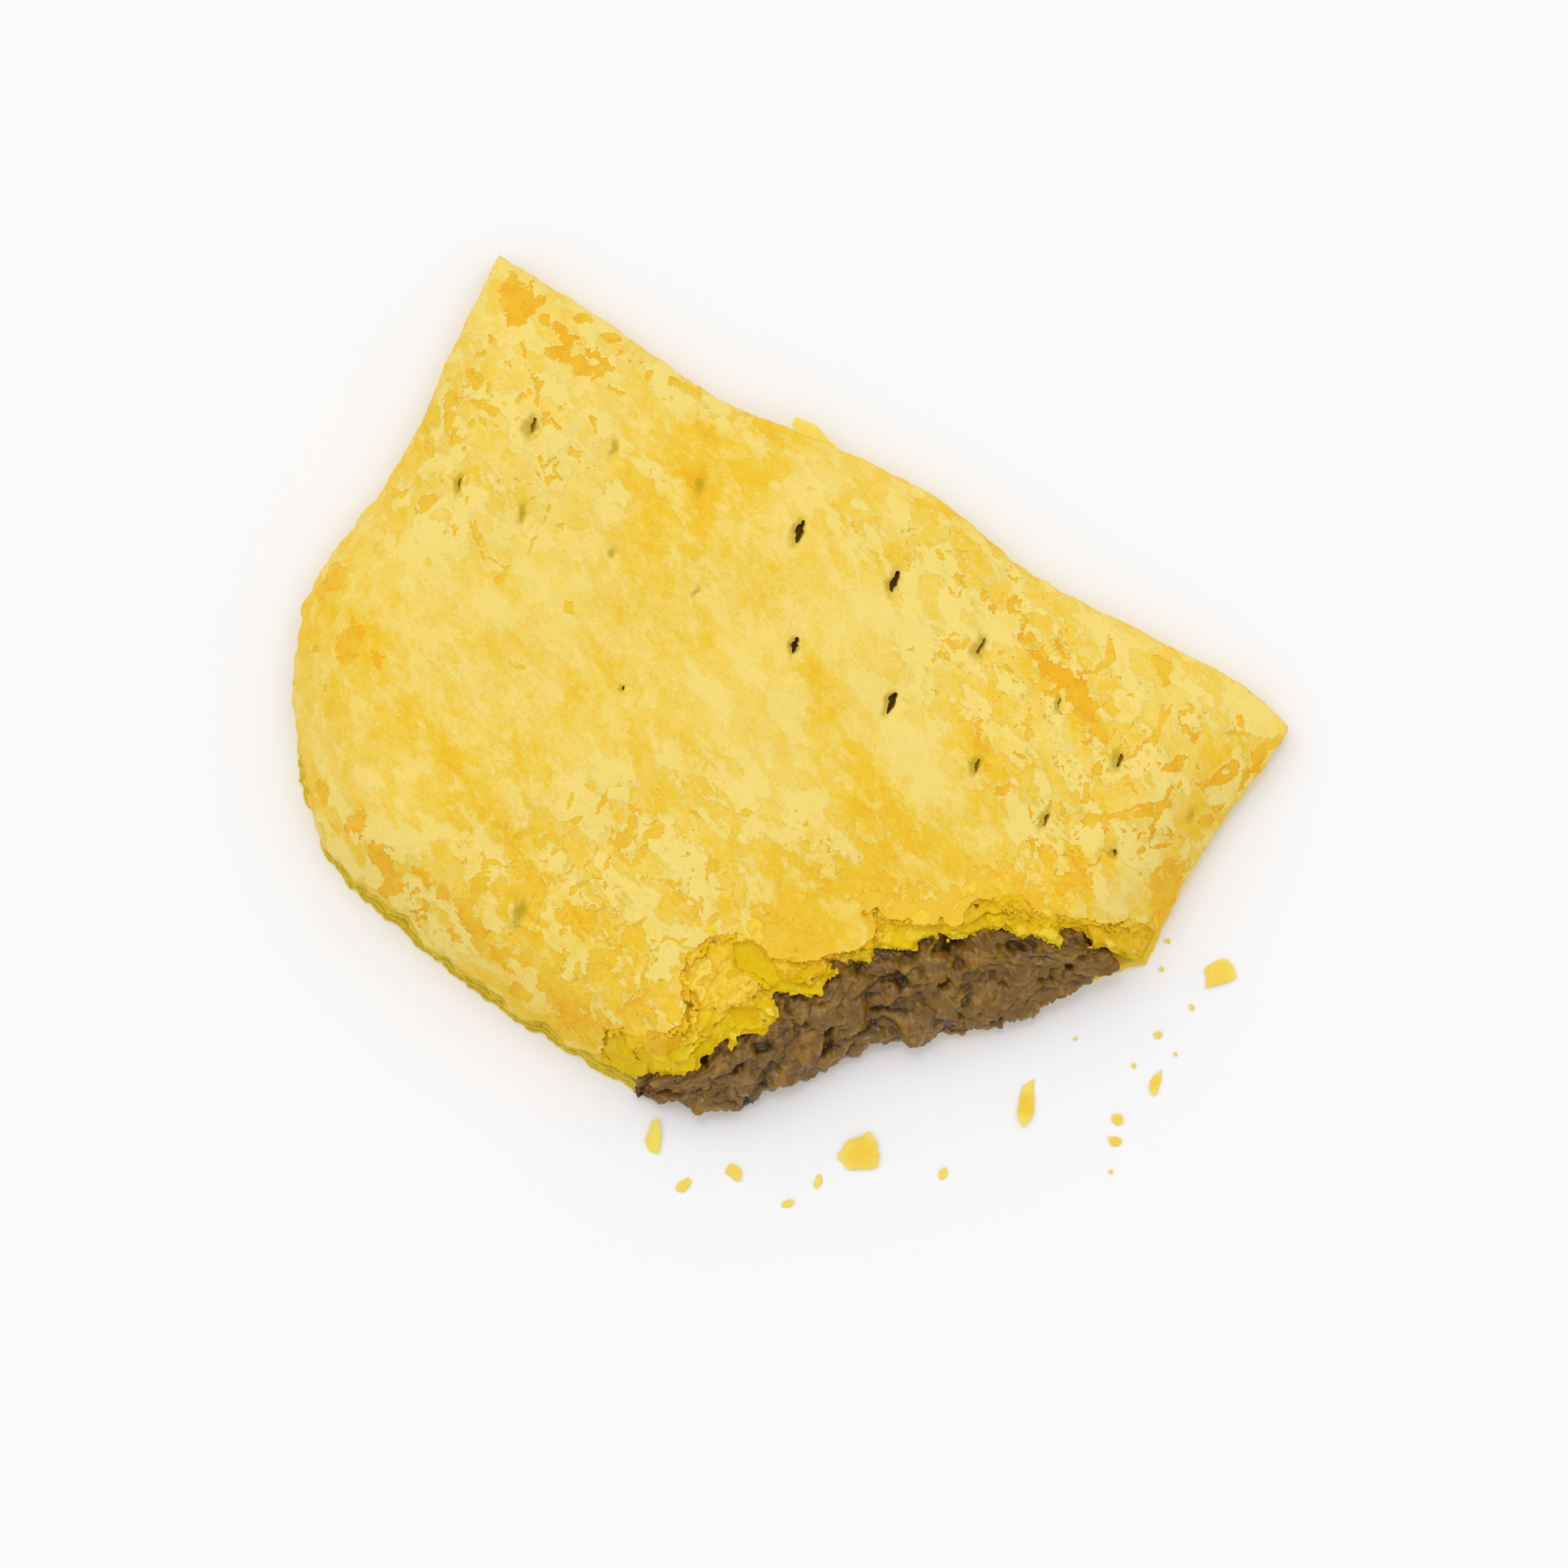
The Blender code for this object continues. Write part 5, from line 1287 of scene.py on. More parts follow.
@dataclass
class TornLayers:
    """The thin sheets that stand out of the torn face, one under the other, ragged and curled."""

    form: Form
    face: TornFace
    count: int = 5
    pitch: float = 0.26
    thickness: float = 0.26
    hidden: float = 1.6
    curl: float = 1.2
    torn: Noise = field(default_factory=lambda: Noise(31))

    def free(self, along_out: Array, number: int) -> Array:
        """How far each place is inside a sheet's ragged outer edge, less than 0 beyond it."""
        share, wide = self.face.share(along_out)
        lobes = self.torn.fractal(along_out[:, 0] + 31.0 * number, along_out[:, 1], 4.0, 5, 0.68)
        inside_edge = ((number + 0.5) / self.count - share) * wide + 1.4 * lobes
        inside_edge = np.minimum(inside_edge, behind(LAYER_COAST, along_out) + 0.6 + 0.9 * lobes)
        if number == self.count - 1:
            return np.minimum(inside_edge, along_out[:, 0] - 4.0 + 3.0 * lobes)
        inside_edge = np.minimum(inside_edge, 4.0 * self.flake(along_out, number))
        for plate in PLATES:
            if plate.rough <= 0.1:
                inside_edge = np.minimum(inside_edge, -signed(np.array(plate.corners), along_out))
        return inside_edge

    def flake(self, along_out: Array, number: int) -> Array:
        """Above 0 on the ragged flakes that are left of a sheet, up to about 0.6."""
        a, b = (along_out + 57.0 * number).T
        return 0.05 + self.torn.fractal(1.1 * a, 0.8 * b, 4.6, 5, 0.6)

    def build(self) -> Body:
        """All the sheets together."""
        return Body.joined([self.sheet(number) for number in range(self.count)])

    def sheet(self, number: int) -> Body:
        """One torn sheet, closed: it starts under the skin and ends in a ragged, curled edge."""
        share = (number + 0.5) / self.count
        sheet = Sheet.lattice(*BITE_BOX, self.pitch)
        sheet.split(self.free(sheet.xy, number), 0, False)
        sheet.split(self.hidden - behind(SKIN_COAST, sheet.xy), 0, False)
        sheet.split(self.face.clear_of_outline(sheet) - 0.25, 0, False)
        along_out, faces, rim = sheet.trimmed()
        plan, free = Form.from_bite(along_out), np.clip(self.free(along_out, number), 0.0, 9.0)
        z = self.form.top(plan) - 0.35 - (CRUST - 1.1) * share
        z = z + 0.3 * self.torn.fractal(plan[:, 0] + 50.0 * number, plan[:, 1], 4.0, 3)
        curl = self.torn.fractal(along_out[:, 0], 0 * free + 13.0 * number, 4.0, 3)
        z = z + np.exp(-free) * (self.curl * curl + 0.15)
        tone = np.clip(0.5 + self.torn.fractal(*(plan + 33.0 * number).T, 2.4, 4, 0.7), 0.0, 1.0)
        z = np.maximum(z, SEAM + 0.5)
        thin = self.thickness * (0.5 + 0.5 * ramp(free, 0.0, 1.0))
        count = len(plan)
        # riser_shade darkens each sheet towards its ragged edge, and under marks its lower side: both
        # are painted shade.
        values = {
            "depth": np.full(2 * count, share), "riser_shade": np.tile(0.5 * np.exp(-free / 0.5), 2),
            "under": np.repeat([0.0, 1.0], count), "amber": np.tile(0.5 - 0.5 * tone, 2),
            "pale": np.tile(1.2 * tone - 0.5, 2), "rough": np.full(2 * count, 0.2),
        }
        return Body.slab(plan, z, z - thin, faces, rim, values)


@dataclass
class Mince:
    """The minced filling: a lumpy face down the bite, on the core that runs through the patty."""

    form: Form
    pitch: float = 0.19
    start: float = -27.4
    stop: float = 50.6
    columns: int = 190
    core_pitch: float = 1.7
    drawn_in: float = 1.25
    broad: float = 1.15
    billow: float = 1.7
    pebble: float = 0.9
    swell: float = 0.8
    hollow: float = 1.3
    coarse: Cells = field(default_factory=lambda: Cells(41, 4.4))
    warp: Noise = field(default_factory=lambda: Noise(44))

    def build(self) -> Body:
        """The face and the core together."""
        return Body.joined([self.face(), self.core()])

    def face(self) -> Body:
        """A tube of closed sections along the bite, pushed out square to itself by lumps."""
        along = np.arange(self.start, self.stop, self.pitch)
        section = self.sections(along)
        rows, columns = section.shape[:2]
        ahead = np.roll(section, -1, axis=1) - np.roll(section, 1, axis=1)
        beside = np.gradient(section, axis=0)
        normal = np.cross(ahead, beside)
        normal /= np.linalg.norm(normal, axis=2)[..., None] + 1e-9
        middle = section.mean(axis=1, keepdims=True)
        if (normal * (section - middle)).sum() < 0:
            normal = -normal
        a = np.repeat(along[:, None], columns, axis=1)
        t = np.repeat(arc_length(section[rows // 2])[None, :], rows, axis=0)
        lump, tone, crevice_shade = self.lumps(a, t)
        shown = self.shown(columns)[None, :]
        ends = ramp(a, self.start, 2.0) * ramp(-a, -self.stop, 1.5)
        push = (lump - self.drawn_in) * shown * (0.35 + 0.65 * ends)
        places = section + normal * push[..., None]
        places[..., 2] = np.maximum(places[..., 2], 0.15)
        faces = ring_faces(rows, columns)
        values = {"tone": tone.ravel(), "crevice_shade": crevice_shade.ravel()}
        return Body(places.reshape(-1, 3), [faces], values)

    def core(self) -> Body:
        """The rest of the filling, closed: its roof follows the crust's lining, its floor is flat."""
        plan = Sheet.lattice(*PLAN_BOX, self.core_pitch)
        plan.split(signed(moved_in(self.form.loop[::4], SEAL), plan.xy), 0, False)
        along, out = Form.to_bite(plan.xy).T
        plan.split(Form.edge(LAYER_EDGE, along) - 4.0 - out, 0, False)
        xy, faces, rim = plan.trimmed()
        floor = np.full(len(xy), BASE + GAP)
        bump = 0.25 * self.warp.fractal(xy[:, 0], xy[:, 1], 5.0, 3)
        roof = np.maximum(self.form.top(xy) - CRUST - GAP - 0.2 + bump, floor + 0.4)
        values = {"tone": np.full(2 * len(xy), 0.5), "crevice_shade": np.zeros(2 * len(xy))}
        return Body.slab(xy, roof, floor, faces, rim, values)

    def sections(self, along: Array) -> Array:
        """Closed sections across the bite: roof, face, foot and back, through smooth corners."""
        layer, foot = Form.edge(LAYER_EDGE, along), Form.edge(FILLING_EDGE, along)
        foot = np.maximum(foot, layer + 1.2)
        wide = foot - layer
        plan = Form.from_bite(np.stack([along, layer], axis=1))
        roof = self.form.top(plan) - CRUST - 0.2
        fall = roof - 3.2
        corners = [
            (layer - 4.5, roof + 0.2), (layer - 1.5, roof), (layer + 0.12 * wide, roof - 0.04 * fall),
            (layer + 0.35 * wide, roof - 0.17 * fall), (layer + 0.62 * wide, roof - 0.42 * fall),
            (layer + 0.85 * wide, roof - 0.70 * fall), (foot - 0.9, roof - 0.93 * fall),
            (foot - 1.1, 2.6 + 0 * wide), (foot - 2.2, 1.2 + 0 * wide), (foot - 5.0, 0.8 + 0 * wide),
        ]
        out = np.stack([corner[0] for corner in corners], axis=1)
        z = np.stack([corner[1] for corner in corners], axis=1)
        share = np.linspace(0.0, len(corners) - 1.0, self.columns)
        low = np.clip(share.astype(int), 0, len(corners) - 2)
        t = share - low

        def smooth(values: Array) -> Array:
            """Each section's values at its corners, turned into a smooth run through them."""
            first, last = 2 * values[:, :1] - values[:, 1:2], 2 * values[:, -1:] - values[:, -2:-1]
            padded = np.concatenate([first, values, last], axis=1)
            return catmull_rom(*(padded[:, low + k] for k in range(4)), t)

        out, z = smooth(out), smooth(z)
        a = np.repeat(along[:, None], out.shape[1], axis=1)
        flat = Form.from_bite(np.stack([a.ravel(), out.ravel()], axis=1))
        return np.concatenate([flat.reshape(*out.shape, 2), z[..., None]], axis=2)

    @staticmethod
    def shown(columns: int) -> Array:
        """1 on the face of the bite, fading to 0 under the crust and under the foot."""
        share = np.linspace(0.0, 1.0, columns)
        return ramp(share, 0.02, 0.12) * ramp(-share, -0.97, 0.1)

    def lumps(self, a: Array, t: Array) -> tuple[Array, Array, Array]:
        """Crumbled meat: broad lumps, billows that part in creases, and hollows.

        Args:
            a: millimetres along the bite.
            t: millimetres down its face.

        Returns:
            The push in millimetres, the tone of the meat, and how deep each place lies between lumps or
            in a hollow, for the painted shade there.
        """
        x = a + 1.2 * self.warp.fractal(a, t, 5.0, 2, 0.5)
        y = t + 1.2 * self.warp.fractal(a + 90.0, t, 5.0, 2, 0.5)
        big = self.coarse.heaped(x, y, 3.1)
        lump = np.abs(self.warp.fractal(a - 20.0, t + 60.0, 3.4, 2, 0.4))
        pebble = np.abs(self.warp.fractal(x + 15.0, y - 30.0, 1.6, 2, 0.5))
        swell = self.warp.fractal(a + 30.0, t, 9.0, 2)
        hollow = ramp(self.warp.fractal(a - 70.0, t + 20.0, 4.6, 2), 0.12, 0.4)
        push = self.broad * big + self.billow * lump + self.pebble * pebble
        push = push + self.swell * swell - self.hollow * hollow
        tone = 0.5 + 1.3 * self.warp.fractal(a + 10.0, t - 40.0, 3.0, 4, 0.65)
        crevice_shade = 1.0 - np.clip(0.35 * big + 2.0 * lump + 1.0 * pebble, 0.0, 1.0)
        return push, tone, np.clip(crevice_shade + 0.6 * hollow, 0.0, 1.0)


# How many points go round a small broken plate.
PLATE_POINTS = 28


def ragged_plate(
    draw: np.random.Generator, radius: float, stretch: float, thick: float, cup: float
) -> Body:
    """A small broken plate, closed: rings out from the middle, above and below.

    Its edge runs straight between 6 to 9 corners at uneven distances, with a little noise, and
    both faces rise by cup times the squared share of the way out.
    """
    around, sides = PLATE_POINTS, draw.integers(6, 10)
    turns = (np.arange(sides) + draw.uniform(-0.32, 0.32, sides)) * 2.0 * math.pi / sides
    tips = draw.uniform(0.58, 1.22, sides)[:, None] * np.stack([np.cos(turns), np.sin(turns)], axis=1)
    tips = np.vstack([tips, tips[:1]])
    place = np.linspace(0.0, sides, around, endpoint=False)
    outline = np.stack([np.interp(place, np.arange(sides + 1), tips[:, k]) for k in (0, 1)], axis=1)
    outline = radius * (outline + draw.normal(0.0, 0.035, outline.shape)) * (stretch, 1.0 / stretch)
    lean = draw.uniform(0.0, 2.0 * math.pi)
    rings = []
    for share, face in ((0.0, 1), (0.5, 1), (0.88, 1), (1.0, 0.5), (0.96, -1), (0.5, -1), (0.0, -1)):
        reach = outline * share
        bow = cup * share**2 * (1.0 + 0.5 * np.cos(np.arctan2(outline[:, 1], outline[:, 0]) + lean))
        height = bow + 0.5 * thick * face * (1.0 if share < 0.95 else 0.6)
        rings.append(np.column_stack([reach, height]))
    places = np.vstack(rings)
    off_middle = np.hypot(places[:, 0], places[:, 1]) > 0.01
    places[:, 2] += draw.normal(0.0, 0.05 * thick, len(places)) * off_middle
    faces = ring_faces(len(rings), around)[:, ::-1]
    return Body(places, [faces], {})


def turn_about(axis: int, angle: float) -> Array:
    """The matrix of a turn about an axis, given by its number."""
    a, b = (axis + 1) % 3, (axis + 2) % 3
    matrix = np.eye(3)
    matrix[[a, b], [a, b]] = math.cos(angle)
    matrix[b, a] = math.sin(angle)
    matrix[a, b] = -math.sin(angle)
    return matrix


def turned(body: Body, yaw: float, tilt: tuple[float, float], place: tuple) -> Body:
    """A body turned about Z, then tilted about X and Y, then moved."""
    matrix = turn_about(1, tilt[1]) @ turn_about(0, tilt[0]) @ turn_about(2, yaw)
    return Body(body.places @ matrix.T + place, body.faces, body.on_points)


@dataclass
class Shards:
    """Loose bits of broken pastry that lie and stand on the torn face."""

    form: Form
    face: TornFace
    count: int = 150
    thickness: float = 0.26
    lean: float = 0.3

    def build(self) -> Body:
        """Plates of 1 to 2 mm at random places between the skin's edge and the last layer's."""
        draw = np.random.default_rng(51)
        sides = ((-30.0, 60.0), (25.0, 45.0))
        spots = np.stack([draw.uniform(*side, self.count) for side in sides], axis=1)
        spots = spots[(behind(SKIN_COAST, spots) < -0.4) & (behind(LAYER_COAST, spots) > 0.5)]
        _, wide = self.face.share(spots)
        plan = Form.from_bite(spots)
        ground, looks = self.face.surface(plan)
        bodies = []
        for number in np.flatnonzero(looks["rough"] > 0.15):
            radius = draw.uniform(0.4, 1.1) * np.clip(wide[number] / 8.0, 0.5, 1.0)
            stretch, cup = draw.uniform(0.8, 1.3), draw.uniform(-0.3, 0.3)
            plate = ragged_plate(draw, radius, stretch, self.thickness, cup)
            tilt = (draw.normal(0.0, self.lean), draw.normal(0.0, self.lean))
            place = (*plan[number], max(ground[number], SEAM + 0.6) + 0.1)
            plate = turned(plate, draw.uniform(0.0, 6.3), tilt, place)
            values = {key: value[number] for key, value in looks.items()}
            # Each shard gets a random share of the painted amber shade of the risers, and none
            # underneath.
            values |= {"riser_shade": draw.uniform(0.0, 0.4), "pale": draw.uniform(0.0, 0.8), "under": 0.0}
            plate.on_points = {key: np.full(len(plate.places), value) for key, value in values.items()}
            bodies.append(plate)
        return Body.joined(bodies)


@dataclass(frozen=True)
class Crumb:
    """A crumb on the table: its place, half size, how long it is, its turn and how toasted."""

    x: float
    y: float
    size: float
    stretch: float
    turn: float
    toast: float


CRUMBS = (
    Crumb(82.7, 10.8, 2.9, 1.0, 20, 0.5), Crumb(67.1, -22.3, 2.4, 1.5, 105, 0.8),
    Crumb(82.2, -20.2, 1.1, 1.2, 10, 0.6), Crumb(80.7, -16.9, 1.2, 1.1, 60, 0.4),
    Crumb(48.9, -42.1, 3.4, 1.08, 30, 0.7), Crumb(19.5, -56.7, 2.2, 1.35, 110, 0.1),
    Crumb(27.4, -60.9, 1.4, 1.35, 60, 0.4), Crumb(33.2, -55.1, 1.5, 1.15, 20, 0.5),
    Crumb(45.1, -49.4, 1.0, 1.3, 100, 0.0), Crumb(42.8, -55.1, 0.9, 1.5, 50, 0.2),
    Crumb(61.5, -38.3, 0.9, 1.2, 100, 0.2), Crumb(83.0, -9.0, 1.4, 1.4, 100, 0.6),
    Crumb(81.7, 4.2, 0.6, 1.1, 0, 0.3), Crumb(79.4, -2.3, 0.7, 1.0, 0, 0.3),
    Crumb(83.3, -3.5, 0.5, 1.2, 0, 0.3), Crumb(68.5, -9.5, 0.4, 1.0, 0, 0.3),
    Crumb(78.6, -8.4, 0.4, 1.2, 0, 0.3), Crumb(84.0, -24.6, 0.4, 1.0, 0, 0.6),
    Crumb(74.5, 6.9, 0.5, 1.3, 0, 0.3), Crumb(73.1, 11.2, 0.6, 1.3, 0, 0.3),
)


@dataclass
class Crumbs:
    """The crumbs that fell from the bite, lying on the table."""

    def build(self) -> Body:
        """One ragged plate a crumb, its lowest point on the table."""
        draw = np.random.default_rng(61)
        bodies = []
        for crumb in CRUMBS:
            thick = 0.22 + 0.07 * crumb.size
            cup = draw.uniform(0.05, 0.14) * crumb.size
            plate = ragged_plate(draw, crumb.size, crumb.stretch, thick, cup)
            tilt = (draw.normal(0, 0.05), draw.normal(0, 0.05))
            plate = turned(plate, math.radians(crumb.turn), tilt, (0, 0, 0))
            plate.places += (crumb.x, crumb.y, 0.02 - plate.places[:, 2].min())
            share = np.hypot(plate.places[:, 0] - crumb.x, plate.places[:, 1] - crumb.y) / crumb.size
            plate.on_points = {"toast": crumb.toast * (1.3 - 1.3 * share**2)}
            bodies.append(plate)
        return Body.joined(bodies)


@dataclass
class FoldLeaf:
    """The loose leaf of pastry that sticks out behind the folded side."""

    def build(self) -> Body:
        """One thin ragged plate that leans up outwards."""
        draw = np.random.default_rng(71)
        plate = ragged_plate(draw, 3.7, 1.35, 0.3, 0.5)
        plate = turned(plate, -0.06, (0.12, 0.0), (-15.0, 50.0, 3.9))
        plate.on_points = {"toast": np.full(len(plate.places), 0.15)}
        return plate


class Graph:
    """Adds nodes to a tree and joins them, with a short call for each kind that is used."""

    def __init__(self, tree: bpy.types.NodeTree) -> None:
        """Keeps the tree."""
        self.tree = tree

    def node(self, kind: str, inputs: dict | None = None, **settings: object) -> bpy.types.Node:
        """A node with its settings made and its inputs set or linked."""
        made = self.tree.nodes.new(kind)
        for key, value in settings.items():
            setattr(made, key, value)
        for key, value in (inputs or {}).items():
            if isinstance(value, bpy.types.NodeSocket):
                self.tree.links.new(value, made.inputs[key])
            else:
                made.inputs[key].default_value = value
        return made

    def math(
        self, operation: str, a: Socket | float, b: Socket | float = 0.0, clamp: bool = False
    ) -> Socket:
        """a and b put together by one operation."""
        made = self.node("ShaderNodeMath", {0: a, 1: b}, operation=operation, use_clamp=clamp)
        return made.outputs[0]

    def add(self, a: Socket | float, b: Socket | float, clamp: bool = False) -> Socket:
        """a + b."""
        return self.math("ADD", a, b, clamp)

    def less(self, a: Socket | float, b: Socket | float) -> Socket:
        """a - b."""
        return self.math("SUBTRACT", a, b)

    def times(self, a: Socket | float, b: Socket | float, clamp: bool = False) -> Socket:
        """a * b."""
        return self.math("MULTIPLY", a, b, clamp)

    def mix(self, share: Socket | float, a: Socket | tuple, b: Socket | tuple) -> Socket:
        """Colour a turned into colour b by a share."""
        return self.node("ShaderNodeMix", {0: share, 6: a, 7: b}, data_type="RGBA").outputs[2]

    def span(
        self, value: Socket, low: float, high: float, to_low: float = 0.0, to_high: float = 1.0
    ) -> Socket:
        """A value mapped smoothly from one range to another, and kept inside it."""
        names = ("Value", "From Min", "From Max", "To Min", "To Max")
        inputs = dict(zip(names, (value, low, high, to_low, to_high)))
        return self.node("ShaderNodeMapRange", inputs, interpolation_type="SMOOTHSTEP").outputs[0]

    def noise(
        self, vector: Socket, scale: Socket | float, detail: float, rough: Socket | float
    ) -> Socket:
        """Noise of 0 to 1 on a vector."""
        inputs = {"Vector": vector, "Scale": scale, "Detail": detail, "Roughness": rough}
        return self.node("ShaderNodeTexNoise", inputs).outputs[0]

    def value(self, name: str) -> Socket:
        """A named value of the mesh."""
        return self.node("ShaderNodeAttribute", attribute_name=name).outputs["Fac"]


def srgb(red: int, green: int, blue: int) -> tuple[float, float, float, float]:
    """A screen colour of 0 to 255 as linear light, opaque."""
    shares = [((c / 255 + 0.055) / 1.055) ** 2.4 if c > 10 else c / 3294.6 for c in (red, green, blue)]
    return (*shares, 1.0)


class Groups:
    """The shader effects that more than one material uses, each built once."""

    def __init__(self) -> None:
        """Builds all groups."""
        self.mottle = self.build_mottle()
        self.crumb = self.build_crumb()

    @staticmethod
    def begin(name: str, inputs: dict[str, float]) -> tuple[Graph, bpy.types.Node, Socket]:
        """A group's graph, its input node and the scale that its size in millimetres gives.

        Args:
            name: the group's name.
            inputs: the named numbers that it takes besides a vector, one of them "Size mm".

        Returns:
            The graph, the input node and the scale for coordinates in metres.
        """
        tree = bpy.data.node_groups.new(name, "ShaderNodeTree")
        tree.interface.new_socket("Vector", in_out="INPUT", socket_type="NodeSocketVector")
        for key, default in inputs.items():
            socket = tree.interface.new_socket(key, in_out="INPUT", socket_type="NodeSocketFloat")
            socket.default_value = default
        graph = Graph(tree)
        source = graph.node("NodeGroupInput")
        return graph, source, graph.math("DIVIDE", 1.0 / MM, source.outputs["Size mm"])

    @staticmethod
    def finish(graph: Graph, outputs: dict[str, Socket]) -> bpy.types.NodeTree:
        """The group's tree, once it has its named outputs."""
        for key in outputs:
            graph.tree.interface.new_socket(key, in_out="OUTPUT", socket_type="NodeSocketFloat")
        graph.node("NodeGroupOutput", outputs)
        return graph.tree

    @classmethod
    def build_mottle(cls) -> bpy.types.NodeTree:
        """Baked mottling: tone of 0 to 1 with much fine detail, and separate fine grains."""
        inputs = {"Size mm": 2.0, "Contrast": 0.5, "Roughness": 0.85}
        graph, source, scale = cls.begin("baked_mottle", inputs)
        vector, contrast = source.outputs["Vector"], source.outputs["Contrast"]
        broad = graph.noise(vector, scale, 6.0, source.outputs["Roughness"])
        tone = graph.add(graph.times(graph.less(broad, 0.5), contrast), 0.5, clamp=True)
        return cls.finish(graph, {"Tone": tone, "Grain": graph.noise(vector, 1900.0, 2.0, 0.6)})

    @classmethod
    def build_crumb(cls) -> bpy.types.NodeTree:
        """The open crumb of torn pastry: small pores and fibres, as a height of 0 to 1."""
        graph, source, scale = cls.begin("torn_crumb", {"Size mm": 0.7})
        vector = source.outputs["Vector"]
        cells = graph.node("ShaderNodeTexVoronoi", {"Vector": vector, "Scale": scale})
        away = cells.outputs["Distance"]
        height = graph.times(away, graph.noise(vector, scale, 4.0, 0.7))
        return cls.finish(graph, {"Height": height, "Pore": graph.span(away, 0.55, 0.1)})


@dataclass(frozen=True)
class Finish:
    """What every finish shares: a Principled surface with constants set on its own sockets."""

    name: str
    roughness: float
    groups: Groups
    bump_mm: float = 0.1
    shine: float = 0.15

    def build(self) -> bpy.types.Material:
        """The material: the shader's constants, with what the finish's own pattern feeds."""
        material = bpy.data.materials.new(self.name)
        material.use_nodes = True
        shader = material.node_tree.nodes["Principled BSDF"]
        shader.inputs["Roughness"].default_value = self.roughness
        shader.inputs["Specular IOR Level"].default_value = self.shine
        graph = Graph(material.node_tree)
        fed = self.pattern(graph, graph.node("ShaderNodeTexCoord").outputs["Object"])
        inputs = {"Height": fed.pop("Height"), "Distance": self.bump_mm * MM, "Strength": 1.0}
        fed["Normal"] = graph.node("ShaderNodeBump", inputs).outputs[0]
        for key, socket in fed.items():
            graph.tree.links.new(socket, shader.inputs[key])
        return material

    def pattern(self, graph: Graph, place: Socket) -> dict[str, Socket]:
        """What changes over the surface, by the shader's input, and Height for the bump.

        Args:
            graph: the material's own graph.
            place: Object coordinates, in metres.

        Returns:
            The sockets by name.
        """
        raise NotImplementedError

    def mottle(
        self, graph: Graph, vector: Socket, size_mm: float, contrast: float, rough: float = 0.85
    ) -> tuple[Socket, Socket]:
        """The shared mottling's tone and grain."""
        inputs = {"Vector": vector, "Size mm": size_mm, "Contrast": contrast, "Roughness": rough}
        made = graph.node("ShaderNodeGroup", inputs, node_tree=self.groups.mottle)
        return made.outputs["Tone"], made.outputs["Grain"]

    def crumb(self, graph: Graph, vector: Socket, size_mm: float) -> tuple[Socket, Socket]:
        """The shared torn crumb's height and pores."""
        inputs = {"Vector": vector, "Size mm": size_mm}
        made = graph.node("ShaderNodeGroup", inputs, node_tree=self.groups.crumb)
        return made.outputs["Height"], made.outputs["Pore"]


class BakedSkin(Finish):
    """The top: pale skin, golden to orange layers where it has gone, and painted olive and dark shade at
    the slits.
    """

    PALE = srgb(240, 215, 116)
    GOLD = srgb(236, 194, 44)
    LAYER = srgb(236, 194, 52)
    TOASTED = srgb(236, 174, 26)
    OLIVE_SHADE = srgb(188, 156, 12)
    WALL = srgb(196, 160, 44)
    DARK = srgb(104, 74, 18)
    STREAK_TURN = math.radians(-25.0)
    STREAK_LENGTH = 1.67

    def pattern(self, graph: Graph, place: Socket) -> dict[str, Socket]:
        """Streaked mottling with a crisp film on the skin, the layer below it, and painted shade at the
        slits.
        """
        inputs = {"Vector": place, "Rotation": (0.0, 0.0, self.STREAK_TURN)}
        inputs["Scale"] = (self.STREAK_LENGTH, 1.0, 1.0)
        streaks = graph.node("ShaderNodeMapping", inputs, vector_type="TEXTURE").outputs[0]
        soft, _ = self.mottle(graph, streaks, 5.0, 2.6, 0.92)
        fine, grain = self.mottle(graph, place, 1.7, 1.8, 0.7)
        crisp, _ = self.mottle(graph, streaks, 4.4, 30.0, 0.62)
        baked, slit_shade, layer = graph.value("gold"), graph.value("slit_shade"), graph.value("layer")
        flakes = graph.span(graph.value("flaking"), 0.0, 0.5, 0.32, 0.85)
        film = graph.times(graph.less(crisp, 0.5), flakes)
        change = graph.times(graph.less(soft, 0.5), 1.5)
        speck = graph.times(graph.less(grain, 0.5), 0.8)
        gold = graph.add(baked, graph.times(change, graph.add(baked, 0.4)))
        gold = graph.add(graph.add(gold, film), speck)
        skin = graph.mix(gold, self.PALE, self.GOLD)
        skin = graph.mix(graph.span(gold, 0.95, 2.2), skin, self.TOASTED)
        toast = graph.add(graph.value("toast"), change, clamp=True)
        below = graph.mix(toast, self.LAYER, self.TOASTED)
        cover = graph.add(graph.value("cover"), graph.times(graph.less(fine, 0.5), 0.06))
        colour = graph.mix(graph.span(cover, -0.03, 0.045), below, skin)
        # Painted shade: olive round each slit, set off to one side, and dark at its middle.
        colour = graph.mix(graph.times(graph.span(slit_shade, 0.25, 0.8), 0.8), colour, self.OLIVE_SHADE)
        colour = graph.mix(graph.times(graph.span(slit_shade, 0.86, 1.0), 0.6), colour, self.DARK)
        is_slit = graph.times(graph.span(layer, 1.4, 1.6), graph.span(layer, 2.6, 2.4))
        # Slit walls and floors: the slit's own brown, made darker with depth as painted shade.
        well = graph.mix(graph.value("sunk"), self.WALL, self.DARK)
        height = graph.less(graph.add(grain, graph.times(soft, 1.2)), graph.times(crisp, flakes))
        return {"Base Color": graph.mix(is_slit, colour, well), "Height": height}


